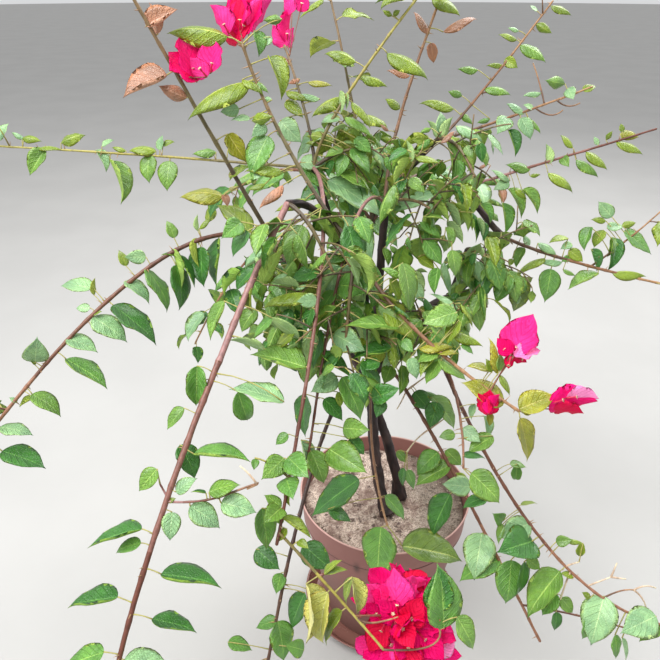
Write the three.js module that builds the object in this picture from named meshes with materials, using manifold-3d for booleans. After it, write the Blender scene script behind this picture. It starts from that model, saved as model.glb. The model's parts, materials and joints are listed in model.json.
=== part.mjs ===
// A bougainvillea bush in a plain terracotta-coloured plastic pot that stands in its saucer.
// Millimetres, +Z up. The origin is the middle of the saucer's flat underside. The bush is looked
// at from -Y, so +X is its right side and -Y its front. Azimuths are in degrees, from +X towards +Y.
import * as THREE from "three";
import { mergeVertices } from "three/addons/utils/BufferGeometryUtils.js";
import Module from "manifold-3d";

const wasm = await Module();
wasm.setup();

// Driving sizes
const POT_HEIGHT = 242; // rim above the saucer's floor
const RIM_RADIUS = 130;
const RIM_BAND = 48; // height of the upright band under the rim
const BAND_STEP = 4; // how far the wall steps in below the band
const FOOT_RADIUS = 88;
const POT_WALL = 3;
const SAUCER_RADIUS = 125;
const SAUCER_HEIGHT = 22;
const SAUCER_FLOOR = 3;
const SOIL_BELOW_RIM = 25;
const SOIL_MOUND = 5; // how far the soil rises towards the stems
const SOIL_SPREAD = 5; // how much wider it is at its edge than at the band's foot
const ROUND_STEPS = 32; // facets round the pot
const GAP = 0.3; // clearance between pieces that touch

const LEAF_LENGTH = 54;
const LEAF_WIDTH = 0.66; // of its length
const LEAF_THICK = 0.022; // of its length
const LEAF_WIDEST = 0.42; // where along its length it is widest
const LEAF_SINK = 0.4; // how far its root runs past the middle of its twig, in twig radii
const GOLDEN_TURN = 137.5; // degrees from one leaf to the next round a stem
// A stem has as many sides as its thickness in mm times this, between these two.
const SIDES_PER_MM = 1.2;
const SIDES = [3, 7];
const SMOOTHED = 0.02; // faces that stray less than this are joined
const BRACT_LENGTH = 37;
const BRACT_OPEN = 38; // degrees between a bract and its flower's axis
const BRACT_WIDEST = 0.5; // where along its length it meets its neighbours
const BRACT_THICK = 1.2;
const BRACTS = 3; // round each flower
const LEAST_SPARE = 1; // room that a leaf keeps to other pieces
const WALL_INSET = 5; // how far the band leans in from the rim down to its foot

const RIM_Z = SAUCER_FLOOR + POT_HEIGHT;
const SOIL_Z = RIM_Z - SOIL_BELOW_RIM;

const COLOURS = {
  pot: { color: 0xa8705f, roughness: 0.55, metalness: 0 },
  soil: { color: 0x8f7d6c, roughness: 0.95, metalness: 0 },
  bark: { color: 0x4f3a31, roughness: 0.85, metalness: 0 },
  foliage: { color: 0x4f9a34, roughness: 0.45, metalness: 0 },
  young_foliage: { color: 0x9bb83a, roughness: 0.45, metalness: 0 },
  bract: { color: 0xe0145f, roughness: 0.6, metalness: 0 },
};

// Stems and boughs. Each leaves the end of the limb named in `from`, heads for `azimuth`, and ends
// `reach` away in plan and `rise` higher. It is pulled towards a point that lies `lean` of the
// reach along, `bow` to the left of its heading and `climb` above its start.
const LIMBS = [
  { name: "trunk", foot: [3.5, -37.5], azimuth: 119.8, reach: 57.2, rise: 215, lean: 0.85,
    climb: 49, thick: [8.5, 7] },
  { name: "second_stem", foot: [23.7, 0.7], azimuth: 148, reach: 85.4, rise: 227, lean: 0.13,
    bow: -8.7, climb: 74, thick: [8, 6] },
  { name: "bough_right", from: "trunk", azimuth: 20, reach: 114, rise: 106, lean: 0.35, climb: 92,
    thick: [6.5, 6] },
  { name: "elbow_bough", from: "bough_right", azimuth: 31, reach: 82, rise: 76, lean: 0.6,
    climb: 22, thick: [5.8, 5] },
  { name: "elbow_return", from: "elbow_bough", azimuth: 160, reach: 58, rise: 60, lean: 0.5,
    climb: 28, thick: [4.6, 3.6] },
  { name: "elbow_twig", from: "bough_right", azimuth: 43, reach: 28, rise: 64, lean: 0.3, climb: 20,
    thick: [3.6, 2.8] },
  { name: "bough_low", from: "trunk", azimuth: -37, reach: 87, rise: 96, lean: 0.4, climb: 62,
    thick: [5, 3.8] },
  { name: "bough_front", from: "trunk", azimuth: -105, reach: 120, rise: 236, lean: 0.35,
    climb: 140, thick: [5.5, 4.2] },
  { name: "bough_middle", from: "trunk", azimuth: 34, reach: 11, rise: 249, lean: 0.5, climb: 125,
    thick: [6, 4.8] },
  { name: "bough_upper", from: "bough_middle", azimuth: 35, reach: 82, rise: 69, lean: 0.35,
    climb: 42, thick: [4.6, 3.6] },
  { name: "bough_arch", from: "trunk", azimuth: -135, reach: 147, rise: 286, lean: 0.38, climb: 280,
    thick: [5.5, 3.8] },
  { name: "bough_left", from: "second_stem", azimuth: 219, reach: 122, rise: 191, lean: 0.35,
    climb: 115, thick: [5.5, 4] },
  { name: "bough_top", from: "second_stem", azimuth: 186, reach: 56, rise: 277, lean: 0.2,
    climb: 150, thick: [5, 3.6] },
  { name: "bough_back", from: "second_stem", azimuth: 72, reach: 82, rise: 178, lean: 0.4,
    climb: 100, thick: [5.5, 4] },
];

// Leafy canes, by the same measures as the limbs. `bare` is the leafless share at the foot,
// `every` the distance from leaf to leaf, `hang` how far the leaves point down, and `twigs` the
// number of side twigs. A fork is a second cane that leaves the first at the share `at`.
const CANES = [
  { name: "cane_left_low", from: "bough_arch", azimuth: -113, reach: 388, rise: -380, lean: 0.78,
    bow: -12, climb: -218, thick: [3.6, 2], bare: 0.12, every: 48, twigs: 1 },
  { name: "cane_left_middle", from: "bough_left", azimuth: -147, reach: 420, rise: -190, lean: 0.2,
    bow: -70, climb: 110, thick: [2.8, 1.6], bare: 0.14, every: 35, hang: 0.5 },
  { name: "cane_left_high", from: "bough_top", azimuth: 172, reach: 440, rise: 14, lean: 0.4,
    bow: -84, climb: -14, thick: [2, 1.2], bare: 0.15, every: 34 },
  { name: "shoot_top_left", from: "bough_left", azimuth: 179, reach: 165, rise: 330, lean: 0.5,
    climb: 165, thick: [2.8, 1.6], bare: 0.2, every: 36, young: true },
  { name: "shoot_top_bloom", from: "bough_front", azimuth: 144, reach: 148, rise: 198, lean: 0.76,
    bow: -5, climb: 99, thick: [2.6, 1.6], bare: 0.1, every: 24, young: true },
  { name: "shoot_top_back", from: "bough_top", azimuth: 114, reach: 90, rise: 132, lean: 0.2,
    bow: -12, climb: 30, thick: [2, 1.4], bare: 0.15, every: 24 },
  { name: "shoot_top_middle", from: "bough_top", azimuth: 27, reach: 168, rise: 215, lean: 0.08,
    bow: 16, climb: 50, thick: [2.2, 1.3], bare: 0.15, every: 28, young: true },
  { name: "shoot_top_right", from: "bough_middle", azimuth: 60, reach: 172, rise: 262, lean: 0.55,
    bow: 50, climb: 55, thick: [2.4, 1.4], bare: 0.15, every: 27, young: true },
  { name: "cane_top_right", from: "bough_upper", azimuth: 41, reach: 212, rise: 150, lean: 0.3,
    bow: 34, climb: -10, thick: [2, 1.2], bare: 0.1, every: 28 },
  { name: "cane_right_top", from: "bough_upper", azimuth: 22, reach: 230, rise: 50, lean: 0.3,
    bow: 46, climb: -8, thick: [2, 1.2], bare: 0.15, every: 28 },
  { name: "cane_right_high", from: "elbow_return", azimuth: -3, reach: 240, rise: 82, lean: 0.5,
    bow: 22, climb: 35, thick: [2.2, 1.2], bare: 0.12, every: 27, hang: 0.2 },
  { name: "cane_right_middle", from: "elbow_bough", azimuth: -6, reach: 296, rise: -76, lean: 0.25,
    bow: 10, climb: -40, thick: [2.6, 1.4], bare: 0.12, every: 31,
    forks: [{ at: 0.45, azimuth: 22, reach: 110, rise: 68, lean: 0.5, climb: 26, thick: [1.6, 1] }] },
  { name: "cane_right_low", from: "bough_low", azimuth: -45, reach: 342, rise: -233, lean: 0.65,
    bow: -70, climb: -228, thick: [2.6, 1.4], bare: 0.12, every: 30 },
  { name: "cane_right_drop", from: "bough_low", azimuth: -84, reach: 168, rise: -72, lean: 0.62,
    bow: 13, climb: -10, thick: [1.9, 1.2], bare: 0.3, every: 28 },
  { name: "cane_right_bloom", from: "bough_front", azimuth: -38, reach: 203, rise: -119, lean: 0.35,
    bow: -23, climb: -65, thick: [2.4, 1.5], bare: 0.15, every: 24, young: true },
  { name: "cane_front_short", from: "bough_middle", azimuth: -111, reach: 258, rise: -205,
    lean: 0.17, bow: -32, climb: 72, thick: [2.2, 1.3], bare: 0.3, every: 32 },
  { name: "cane_front_right", from: "trunk", azimuth: -54, reach: 330, rise: -205, lean: -0.12,
    climb: 145, thick: [2.8, 1.6], bare: 0.3, every: 32,
    forks: [{ at: 0.9, azimuth: -14, reach: 120, rise: -4, lean: 0.5, climb: 4, thick: [1.4, 1] }] },
  { name: "cane_front_dark", from: "trunk", azimuth: -111, reach: 384, rise: -204, lean: 0.34,
    bow: -15, climb: 143, thick: [2.8, 1.6], bare: 0.25, every: 38 },
  { name: "cane_front_drop", from: "trunk", azimuth: -86, reach: 179, rise: -104, lean: 0.47,
    bow: -16, climb: -63, thick: [2, 1.3], bare: 0.5, every: 20 },
  { name: "cane_front_bloom", from: "bough_top", azimuth: -95, reach: 352, rise: -270, lean: 0.4,
    bow: 51, climb: 9, thick: [2.6, 1.6], bare: 0.25, every: 34,
    forks: [{ at: 0.975, azimuth: -33, reach: 118, rise: -84, lean: 0.45, climb: -34, thick: [1.7, 1.2] }] },
  { name: "cane_back_left", from: "bough_back", azimuth: 142, reach: 330, rise: -40, lean: 0.4,
    climb: 120, thick: [2.6, 1.4], bare: 0.15, every: 34, twigs: 1 },
  { name: "cane_back_middle", from: "bough_back", azimuth: 98, reach: 330, rise: -150, lean: 0.45,
    climb: 110, thick: [2.6, 1.4], bare: 0.15, every: 34, twigs: 1 },
  { name: "cane_back_right", from: "bough_back", azimuth: 48, reach: 340, rise: -70, lean: 0.4,
    climb: 120, thick: [2.6, 1.4], bare: 0.15, every: 34, twigs: 1 },
  { name: "shoot_back_high", from: "bough_back", azimuth: 120, reach: 130, rise: 300, lean: 0.4,
    climb: 150, thick: [2.4, 1.3], bare: 0.2, every: 34, young: true },
  { name: "cane_back_drop", from: "bough_back", azimuth: 170, reach: 290, rise: -230, lean: 0.5,
    climb: 60, thick: [2.4, 1.3], bare: 0.2, every: 34 },
];

// The dense middle of the crown: short stems with many side twigs.
const TUFTS = [
  { name: "crown_left", from: "bough_left", azimuth: -60, reach: 66, rise: -45, lean: 0.5, climb: 6,
    twigs: 6 },
  { name: "crown_top", from: "bough_top", azimuth: 10, reach: 74, rise: 22, lean: 0.5, climb: 26,
    twigs: 6 },
  { name: "crown_front", from: "bough_front", azimuth: -105, reach: 44, rise: -96, lean: 0.6,
    climb: -20, twigs: 7 },
  { name: "crown_front_left", from: "bough_arch", azimuth: -40, reach: 62, rise: -60, lean: 0.5,
    climb: -4, twigs: 6 },
  { name: "crown_right", from: "elbow_twig", azimuth: -60, reach: 62, rise: -10, lean: 0.5,
    climb: 16, twigs: 6 },
  { name: "crown_middle", from: "bough_middle", azimuth: -50, reach: 72, rise: 14, lean: 0.5,
    climb: 24, twigs: 7 },
  { name: "crown_upper", from: "bough_upper", azimuth: -60, reach: 72, rise: -30, lean: 0.5,
    climb: 12, twigs: 6 },
  { name: "crown_back", from: "bough_back", azimuth: 80, reach: 80, rise: 50, lean: 0.5, climb: 30,
    twigs: 7 },
  { name: "crown_low", from: "bough_low", azimuth: -125, reach: 40, rise: 56, lean: 0.5, climb: 20,
    twigs: 6 },
];

// Flower clusters. Each stalk leaves a cane, or the cane's fork, at the share `at`, and carries
// flowers that lean out from its heading by up to `spread` degrees.
const BLOOMS = [
  { name: "bloom_top_left", on: "shoot_top_left", at: 0.6, azimuth: -35, reach: 8, rise: 2,
    flowers: 2, spread: 44 },
  { name: "bloom_top_middle", on: "shoot_top_bloom", at: 0.96, azimuth: 100, reach: 4, rise: 4,
    flowers: 3, spread: 55 },
  { name: "bloom_top_back", on: "shoot_top_back", at: 0.9, azimuth: 40, reach: 3, rise: 4,
    flowers: 2, spread: 34 },
  { name: "bloom_right_high", on: "cane_right_bloom", at: 0.86, azimuth: 40, reach: 10, rise: 12,
    flowers: 1 },
  { name: "bloom_right_near", on: "cane_right_bloom", at: 0.92, azimuth: -130, reach: 6, rise: 2,
    flowers: 1, small: true },
  { name: "bloom_right_low", on: "cane_right_bloom", at: 1, azimuth: 4, reach: 16, rise: 2,
    flowers: 1 },
  { name: "bloom_front", on: "cane_front_bloom", fork: 0, at: 0.72, azimuth: 14, reach: 42,
    rise: -12, flowers: 10, spread: 116 },
];

const DEGREE = Math.PI / 180;
const UP = new THREE.Vector3(0, 0, 1);

// A repeatable stream of numbers from 0 to 1 (the Park-Miller rule).
const DICE_FACTOR = 48271;
const DICE_RANGE = 2147483647;
function dice(seed) {
  let state = seed;
  const roll = () => {
    state = (state * DICE_FACTOR) % DICE_RANGE;
    return state / DICE_RANGE;
  };
  roll();
  return { roll, between: (low, high) => low + (high - low) * roll() };
}

function heading(azimuth) {
  return new THREE.Vector3(Math.cos(azimuth * DEGREE), Math.sin(azimuth * DEGREE), 0);
}

// The curve that a limb's or a cane's measures describe.
function arch(start, { azimuth, reach, rise, lean = 0.5, bow = 0, climb = rise / 2 }) {
  const ahead = heading(azimuth);
  const left = heading(azimuth + 90);
  const pull = start.clone().addScaledVector(ahead, reach * lean);
  pull.addScaledVector(left, bow).addScaledVector(UP, climb);
  const end = start.clone().addScaledVector(ahead, reach).addScaledVector(UP, rise);
  return new THREE.QuadraticBezierCurve3(start, pull, end);
}

// A closed solid from points and triangles.
function solidFrom(points, triangles) {
  const mesh = new wasm.Mesh({
    numProp: 3,
    vertProperties: new Float32Array(points.flatMap((p) => [p.x, p.y, p.z])),
    triVerts: new Uint32Array(triangles.flat()),
  });
  return new wasm.Manifold(mesh);
}

function solidOf(geometry) {
  const bare = geometry.clone();
  bare.deleteAttribute("normal");
  bare.deleteAttribute("uv");
  const merged = mergeVertices(bare, 1e-3);
  return new wasm.Manifold(
    new wasm.Mesh({
      numProp: 3,
      vertProperties: merged.attributes.position.array,
      triVerts: new Uint32Array(merged.index.array),
    }),
  );
}

function geometryOf(solid) {
  const mesh = solid.getMesh();
  const geometry = new THREE.BufferGeometry();
  geometry.setAttribute("position", new THREE.BufferAttribute(new Float32Array(mesh.vertProperties), 3));
  geometry.setIndex(new THREE.BufferAttribute(new Uint32Array(mesh.triVerts), 1));
  return geometry;
}

// A stem follows a curve in straight pieces and tapers from foot to tip. Whatever grows on it
// starts on the middle line of those pieces.
function makeStem(curve, [thickAtFoot, thickAtTip], pieceLength, fewest, swell = () => 0) {
  const steps = Math.max(fewest, Math.round(curve.getLength() / pieceLength));
  const spine = Array.from({ length: steps + 1 }, (_, i) => curve.getPointAt(i / steps));
  const sides = Math.round(THREE.MathUtils.clamp(thickAtFoot * SIDES_PER_MM, ...SIDES));
  return {
    curve,
    length: curve.getLength(),
    radiusAt: (share) => thickAtFoot + (thickAtTip - thickAtFoot) * share + swell(share),
    pointAt: (share) => {
      const i = Math.min(steps - 1, Math.floor(share * steps));
      return spine[i].clone().lerp(spine[i + 1], share * steps - i);
    },
    tangentAt: (share) => curve.getTangentAt(share),
    spine,
    sides,
  };
}

// The solid of a stem, made thicker all round by `spare`.
function tube({ curve, spine, sides, radiusAt }, spare = 0) {
  const steps = spine.length - 1;
  const frames = curve.computeFrenetFrames(steps, false);
  const points = [];
  for (let i = 0; i <= steps; i++) {
    const radius = radiusAt(i / steps) + spare;
    for (let j = 0; j < sides; j++) {
      const turn = (j / sides) * 2 * Math.PI;
      points.push(
        spine[i]
          .clone()
          .addScaledVector(frames.normals[i], radius * Math.cos(turn))
          .addScaledVector(frames.binormals[i], radius * Math.sin(turn)),
      );
    }
  }
  const triangles = [];
  for (let i = 0; i < steps; i++) {
    for (let j = 0; j < sides; j++) {
      const [a, b] = [i * sides + j, i * sides + ((j + 1) % sides)];
      triangles.push([a, b, b + sides], [a, b + sides, a + sides]);
    }
  }
  for (let j = 1; j < sides - 1; j++) {
    const last = steps * sides;
    triangles.push([0, j + 1, j], [last, last + j, last + j + 1]);
  }
  return solidFrom(points, triangles);
}

// A blade of eight faces, folded along its midrib, with its root at `root`.
function blade(root, axis, normal, { length, width, fold, droop, thick, sink }) {
  const side = new THREE.Vector3().crossVectors(normal, axis);
  const at = (along, across, out) =>
    root.clone().addScaledVector(axis, along).addScaledVector(side, across).addScaledVector(normal, out);
  const widest = length * LEAF_WIDEST;
  const points = [
    at(-sink, 0, 0),
    at(widest, -width / 2, fold),
    at(length, 0, -droop),
    at(widest, width / 2, fold),
    at(widest, 0, thick / 2),
    at(widest, 0, -thick / 2),
  ];
  const triangles = [
    [0, 1, 4],
    [1, 2, 4],
    [2, 3, 4],
    [3, 0, 4],
    [1, 0, 5],
    [2, 1, 5],
    [3, 2, 5],
    [0, 3, 5],
  ];
  return solidFrom(points, triangles);
}

function largest(solid) {
  return solid.decompose().reduce((best, piece) => (piece.volume() > best.volume() ? piece : best));
}

function boxesMeet(a, b) {
  return [0, 1, 2].every((k) => a.min[k] <= b.max[k] && b.min[k] <= a.max[k]);
}

// Everything placed so far, as small solids with the node that each belongs to.
const placed = [];
function place(owner, kind, solid) {
  placed.push({ owner, kind, solid, box: solid.boundingBox() });
}

function meets(solid, isRival) {
  const box = solid.boundingBox();
  return placed.some((p) => isRival(p) && boxesMeet(p.box, box) && solid.intersect(p.solid).volume() > 0);
}

// Limbs and stems with the gap added. A later stem that starts in one, or passes it, is cut clear.
const rooms = [];
function keepRoom(owner, solid) {
  rooms.push({ owner, solid, box: solid.boundingBox() });
}

function clearOf(solid, owner) {
  const box = solid.boundingBox();
  const near = rooms.filter((room) => room.owner !== owner && boxesMeet(room.box, box));
  return largest(near.reduce((rest, room) => rest.subtract(room.solid), solid));
}

// Pot, saucer and soil
function lathe(profile) {
  const closed = [...profile, profile[0]].map(([radius, height]) => new THREE.Vector2(radius, height));
  return solidOf(new THREE.LatheGeometry(closed, ROUND_STEPS).rotateX(Math.PI / 2));
}

function wallRadius(z) {
  const bandFoot = RIM_Z - RIM_BAND;
  const upper = RIM_RADIUS - BAND_STEP - WALL_INSET;
  return FOOT_RADIUS + ((upper - FOOT_RADIUS) * (z - SAUCER_FLOOR)) / (bandFoot - SAUCER_FLOOR);
}

function makePot() {
  const foot = SAUCER_FLOOR + GAP;
  const bandFoot = RIM_Z - RIM_BAND;
  const floor = foot + POT_WALL;
  return lathe([
    [0, foot],
    [FOOT_RADIUS - 2, foot],
    [FOOT_RADIUS, foot + 2],
    [wallRadius(bandFoot), bandFoot],
    [wallRadius(bandFoot) + BAND_STEP, bandFoot + 1.5],
    [RIM_RADIUS - 1, RIM_Z - 3],
    [RIM_RADIUS, RIM_Z - 1],
    [RIM_RADIUS - 1, RIM_Z],
    [RIM_RADIUS - POT_WALL, RIM_Z - 1],
    [wallRadius(bandFoot) - POT_WALL + 2, bandFoot],
    [FOOT_RADIUS - POT_WALL, floor],
    [0, floor],
  ]);
}

function makeSaucer() {
  const inner = SAUCER_RADIUS - POT_WALL;
  return lathe([
    [0, 0],
    [SAUCER_RADIUS - 16, 0],
    [SAUCER_RADIUS - 12, 3],
    [SAUCER_RADIUS - 1, SAUCER_HEIGHT - 2],
    [SAUCER_RADIUS, SAUCER_HEIGHT],
    [inner, SAUCER_HEIGHT],
    [inner - 13, SAUCER_FLOOR],
    [0, SAUCER_FLOOR],
  ]);
}

function makeSoil() {
  const floor = SAUCER_FLOOR + 2 * GAP + POT_WALL;
  const bandFoot = RIM_Z - RIM_BAND;
  const edge = wallRadius(bandFoot) - POT_WALL - 1;
  return lathe([
    [0, floor],
    [FOOT_RADIUS - POT_WALL - 1, floor],
    [edge, bandFoot],
    [edge + SOIL_SPREAD, SOIL_Z - 2],
    [edge * 0.55, SOIL_Z + SOIL_MOUND * 0.5],
    [edge * 0.35, SOIL_Z + SOIL_MOUND],
    [0, SOIL_Z + SOIL_MOUND],
  ]);
}

// The bush is one group that holds a group for the pot, the wood, the blossom and the foliage.
const SETS = {
  pot_set: ["pot", "soil"],
  wood: ["bark"],
  blossom: ["bract"],
  leafage: ["foliage", "young_foliage"],
};
const bush = new THREE.Group();
bush.name = "bush";
for (const name of Object.keys(SETS)) {
  const set = new THREE.Group();
  set.name = name;
  bush.add(set);
}

function show(name, solid, colour) {
  const material = new THREE.MeshStandardMaterial(COLOURS[colour]);
  const mesh = new THREE.Mesh(geometryOf(solid.simplify(SMOOTHED)), material);
  mesh.name = name;
  bush.children.find((set) => SETS[set.name].includes(colour)).add(mesh);
}

show("pot", makePot(), "pot");
show("saucer", makeSaucer(), "pot");
show("soil", makeSoil(), "soil");

// Trunk, second stem and boughs
const LIMB_STEP = 44; // length of one straight piece of a limb
const FLARE = 4.5; // how much thicker a stem is where it meets the soil
const FLARE_SHARE = 0.12; // the share of its length that flares
const FEWEST_PIECES = { stem: 8, bough: 3, cane: 3, twig: 2, stalk: 2 };
const limbEnds = new Map();
for (const limb of LIMBS) {
  const foot = SOIL_Z + SOIL_MOUND + GAP;
  const start = limb.foot ? new THREE.Vector3(...limb.foot, foot) : limbEnds.get(limb.from);
  const flare = (share) => (limb.foot ? FLARE * Math.max(0, 1 - share / FLARE_SHARE) : 0);
  const fewest = limb.foot ? FEWEST_PIECES.stem : FEWEST_PIECES.bough;
  const stem = makeStem(arch(start, limb), limb.thick, LIMB_STEP, fewest, flare);
  const whole = tube(stem);
  const solid = clearOf(limb.foot ? whole.trimByPlane([0, 0, 1], foot) : whole, limb.name);
  keepRoom(limb.name, tube(stem, GAP));
  limbEnds.set(limb.name, stem.pointAt(1));
  place(limb.name, "limb", solid);
  show(limb.name, solid, "bark");
}

// Stems of the canes and tufts, with their forks
const CANE_STEP = 55; // length of one straight piece of a cane
const TUFT_THICK = [2.4, 1.4];
const masses = new Map();
function addStem(mass, curve, thick) {
  const stem = makeStem(curve, thick, CANE_STEP, FEWEST_PIECES.cane);
  const solid = clearOf(tube(stem), mass.name);
  keepRoom(mass.name, tube(stem, GAP));
  mass.stems.push(stem);
  mass.parts.push(solid);
  place(mass.name, "stem", solid);
}

const tuftSpecs = TUFTS.map((tuft) => ({ ...tuft, tuft: true, thick: TUFT_THICK }));
for (const spec of [...CANES, ...tuftSpecs]) {
  const mass = { name: spec.name, spec, stems: [], parts: [] };
  masses.set(spec.name, mass);
  addStem(mass, arch(limbEnds.get(spec.from), spec), spec.thick);
  const [first] = mass.stems;
  for (const fork of spec.forks ?? []) {
    addStem(mass, arch(first.pointAt(fork.at), fork), fork.thick);
  }
}

// A flower is a cup of three pointed bracts that meet at their widest, with its root at `root`.
function makeFlower(root, ahead, sideways, size, luck) {
  const points = [root.clone(), root.clone().addScaledVector(ahead, 3)];
  const triangles = [];
  const spot = (turn, open, distance) => {
    const out = sideways.clone().applyAxisAngle(ahead, turn * DEGREE);
    return root
      .clone()
      .addScaledVector(ahead, distance * Math.cos(open * DEGREE))
      .addScaledVector(out, distance * Math.sin(open * DEGREE));
  };
  const apart = 360 / BRACTS;
  for (let b = 0; b < BRACTS; b++) {
    const turn = b * apart;
    const length = BRACT_LENGTH * size * luck.between(0.88, 1.1);
    const open = BRACT_OPEN * luck.between(0.85, 1.2);
    const middle = length * BRACT_WIDEST;
    const tip = spot(turn, open * 0.95, length);
    const outer = spot(turn, open, middle);
    const inner = outer.clone().addScaledVector(ahead, BRACT_THICK);
    const notch = spot(turn + apart / 2, BRACT_OPEN * 1.05, middle * 1.3);
    points.push(tip, outer, inner, notch);
    const [t, o, i, n] = [2 + 4 * b, 3 + 4 * b, 4 + 4 * b, 5 + 4 * b];
    const before = 5 + 4 * ((b + BRACTS - 1) % BRACTS);
    triangles.push([before, 0, o], [t, before, o], [n, t, o], [0, n, o]);
    triangles.push([1, before, i], [before, t, i], [t, n, i], [n, 1, i]);
  }
  return solidFrom(points, triangles);
}

// Flower clusters: a stalk, then a short twig under each flower
const FLOWER_TWIG = 22;
const STALK_THICK = [1.4, 1.2];
const BUD_SIZE = 0.62; // of an open flower
function makeBloom(bloom, seed) {
  const luck = dice(seed);
  const cane = masses.get(bloom.on);
  const stem = cane.stems[bloom.fork === undefined ? 0 : bloom.fork + 1];
  const path = arch(stem.pointAt(bloom.at), bloom);
  const stalk = makeStem(path, STALK_THICK, CANE_STEP, FEWEST_PIECES.stalk);
  const hub = stalk.pointAt(1);
  const ahead = stalk.tangentAt(1);
  const across = new THREE.Vector3().crossVectors(ahead, UP).normalize();
  const over = new THREE.Vector3().crossVectors(across, ahead);
  const size = bloom.small ? BUD_SIZE : 1;
  let solid = tube(stalk);
  for (let k = 0; k < bloom.flowers; k++) {
    const lean = (bloom.spread ?? 0) * DEGREE * Math.sqrt((k + 0.5) / bloom.flowers);
    const turn = k * GOLDEN_TURN * DEGREE;
    const out = ahead
      .clone()
      .multiplyScalar(Math.cos(lean))
      .addScaledVector(across, Math.sin(lean) * Math.cos(turn))
      .addScaledVector(over, Math.sin(lean) * Math.sin(turn));
    const end = hub.clone().addScaledVector(out, FLOWER_TWIG * size * luck.between(0.85, 1.15));
    const twig = makeStem(new THREE.LineCurve3(hub, end), STALK_THICK, CANE_STEP, 1);
    const sideways = new THREE.Vector3().crossVectors(out, UP).normalize();
    sideways.applyAxisAngle(out, luck.between(0, 2 * Math.PI));
    const root = end.clone().addScaledVector(out, -1.5);
    solid = solid.add(tube(twig)).add(makeFlower(root, out, sideways, size, luck));
  }
  return clearOf(solid, bloom.name);
}
BLOOMS.forEach((bloom, k) => {
  const solid = makeBloom(bloom, 31 + k);
  place(bloom.name, "bloom", solid);
  show(bloom.name, solid, "bract");
});

// Side twigs, then leaves, on every cane and tuft
const TWIG_THICK = [1.3, 0.9];
const TWIG_LENGTH = 62;
const CANE_TWIG_BARE = 0.35;
const TUFT_TWIG_BARE = 0.15;
const TWIG_AHEAD = 0.45; // how far a twig leans along its stem
const TWIG_LIFT = 0.12; // how far a twig bows upwards, of its length
const SHAKE = 25; // degrees that a leaf's or twig's place round its stem may stray
function outwards(tangent, turn) {
  const across = new THREE.Vector3().crossVectors(tangent, UP).normalize();
  const over = new THREE.Vector3().crossVectors(across, tangent);
  return across.multiplyScalar(Math.cos(turn * DEGREE)).addScaledVector(over, Math.sin(turn * DEGREE));
}

// The same, but on a level stem the leaves keep to its two sides.
function leafSide(tangent, turn) {
  const steep = Math.abs(tangent.z);
  const out = outwards(tangent, turn);
  const across = new THREE.Vector3().crossVectors(tangent, UP).normalize();
  const lean = out.dot(across);
  return out.addScaledVector(across, Math.sign(lean) * 1.2 * (1 - steep)).normalize();
}

function addTwigs(mass, luck) {
  const { spec, stems } = mass;
  const [stem] = stems;
  const bare = spec.tuft ? TUFT_TWIG_BARE : CANE_TWIG_BARE;
  for (let k = 0; k < (spec.twigs ?? 0); k++) {
    const share = bare + ((1 - bare) * (k + 0.5)) / spec.twigs;
    const start = stem.pointAt(share);
    const tangent = stem.tangentAt(share);
    const length = TWIG_LENGTH * luck.between(0.8, 1.25);
    const way = outwards(tangent, k * GOLDEN_TURN + luck.between(-20, 20))
      .addScaledVector(tangent, TWIG_AHEAD)
      .normalize();
    const end = start.clone().addScaledVector(way, length);
    const pull = start.clone().addScaledVector(way, length / 2);
    pull.addScaledVector(UP, length * TWIG_LIFT);
    const path = new THREE.QuadraticBezierCurve3(start, pull, end);
    const twig = makeStem(path, TWIG_THICK, CANE_STEP, FEWEST_PIECES.twig);
    const solid = tube(twig);
    if (meets(tube(twig, LEAST_SPARE), (p) => p.owner !== mass.name || p.kind === "twig")) continue;
    place(mass.name, "twig", solid);
    mass.parts.push(solid);
    stems.push({ ...twig, isTwig: true });
  }
}

const TWIG_LEAF_STEP = 35;
const TUFT_LEAF_SIZE = 1.1; // of a cane's leaf
const CANE_HANG = 0.15;
const TUFT_HANG = 0.6;
const TRIES = 3;
const NEXT_TRY = 50; // degrees that a leaf with no room is moved on round its stem
const ROLL = 28; // degrees that a blade may turn about its own axis
const SIZES = [0.8, 1.18]; // how leaves differ in length
const FOLDS = [0.06, 0.16]; // how far a blade's sides stand above its midrib, of its length
const DROOPS = [0, 0.16]; // how far its tip hangs, of its length
const TIP_SHRINK = 0.4; // how much smaller the last leaf of a cane is
const CLEAR_FROM = 0.3; // the share of a leaf next to its root may touch its own twig
function leafAt(stem, share, turn, size, hang, luck) {
  const tangent = stem.tangentAt(share);
  const out = leafSide(tangent, turn);
  const axis = new THREE.Vector3(out.x, out.y, out.z * 0.5 - hang - luck.between(0.05, 0.35))
    .addScaledVector(tangent, luck.between(0.1, 0.45))
    .normalize();
  const level = UP.clone().addScaledVector(axis, -axis.dot(UP));
  const normal = (level.lengthSq() > 0.02 ? level : out).clone().normalize();
  normal.addScaledVector(axis, -axis.dot(normal)).normalize();
  normal.applyAxisAngle(axis, luck.between(-ROLL, ROLL) * DEGREE);
  const length = size * luck.between(...SIZES);
  return {
    root: stem.pointAt(share),
    axis,
    normal,
    length,
    width: length * LEAF_WIDTH,
    fold: length * luck.between(...FOLDS),
    droop: length * luck.between(...DROOPS),
    thick: length * LEAF_THICK,
    sink: LEAF_SINK * stem.radiusAt(share),
  };
}

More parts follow.
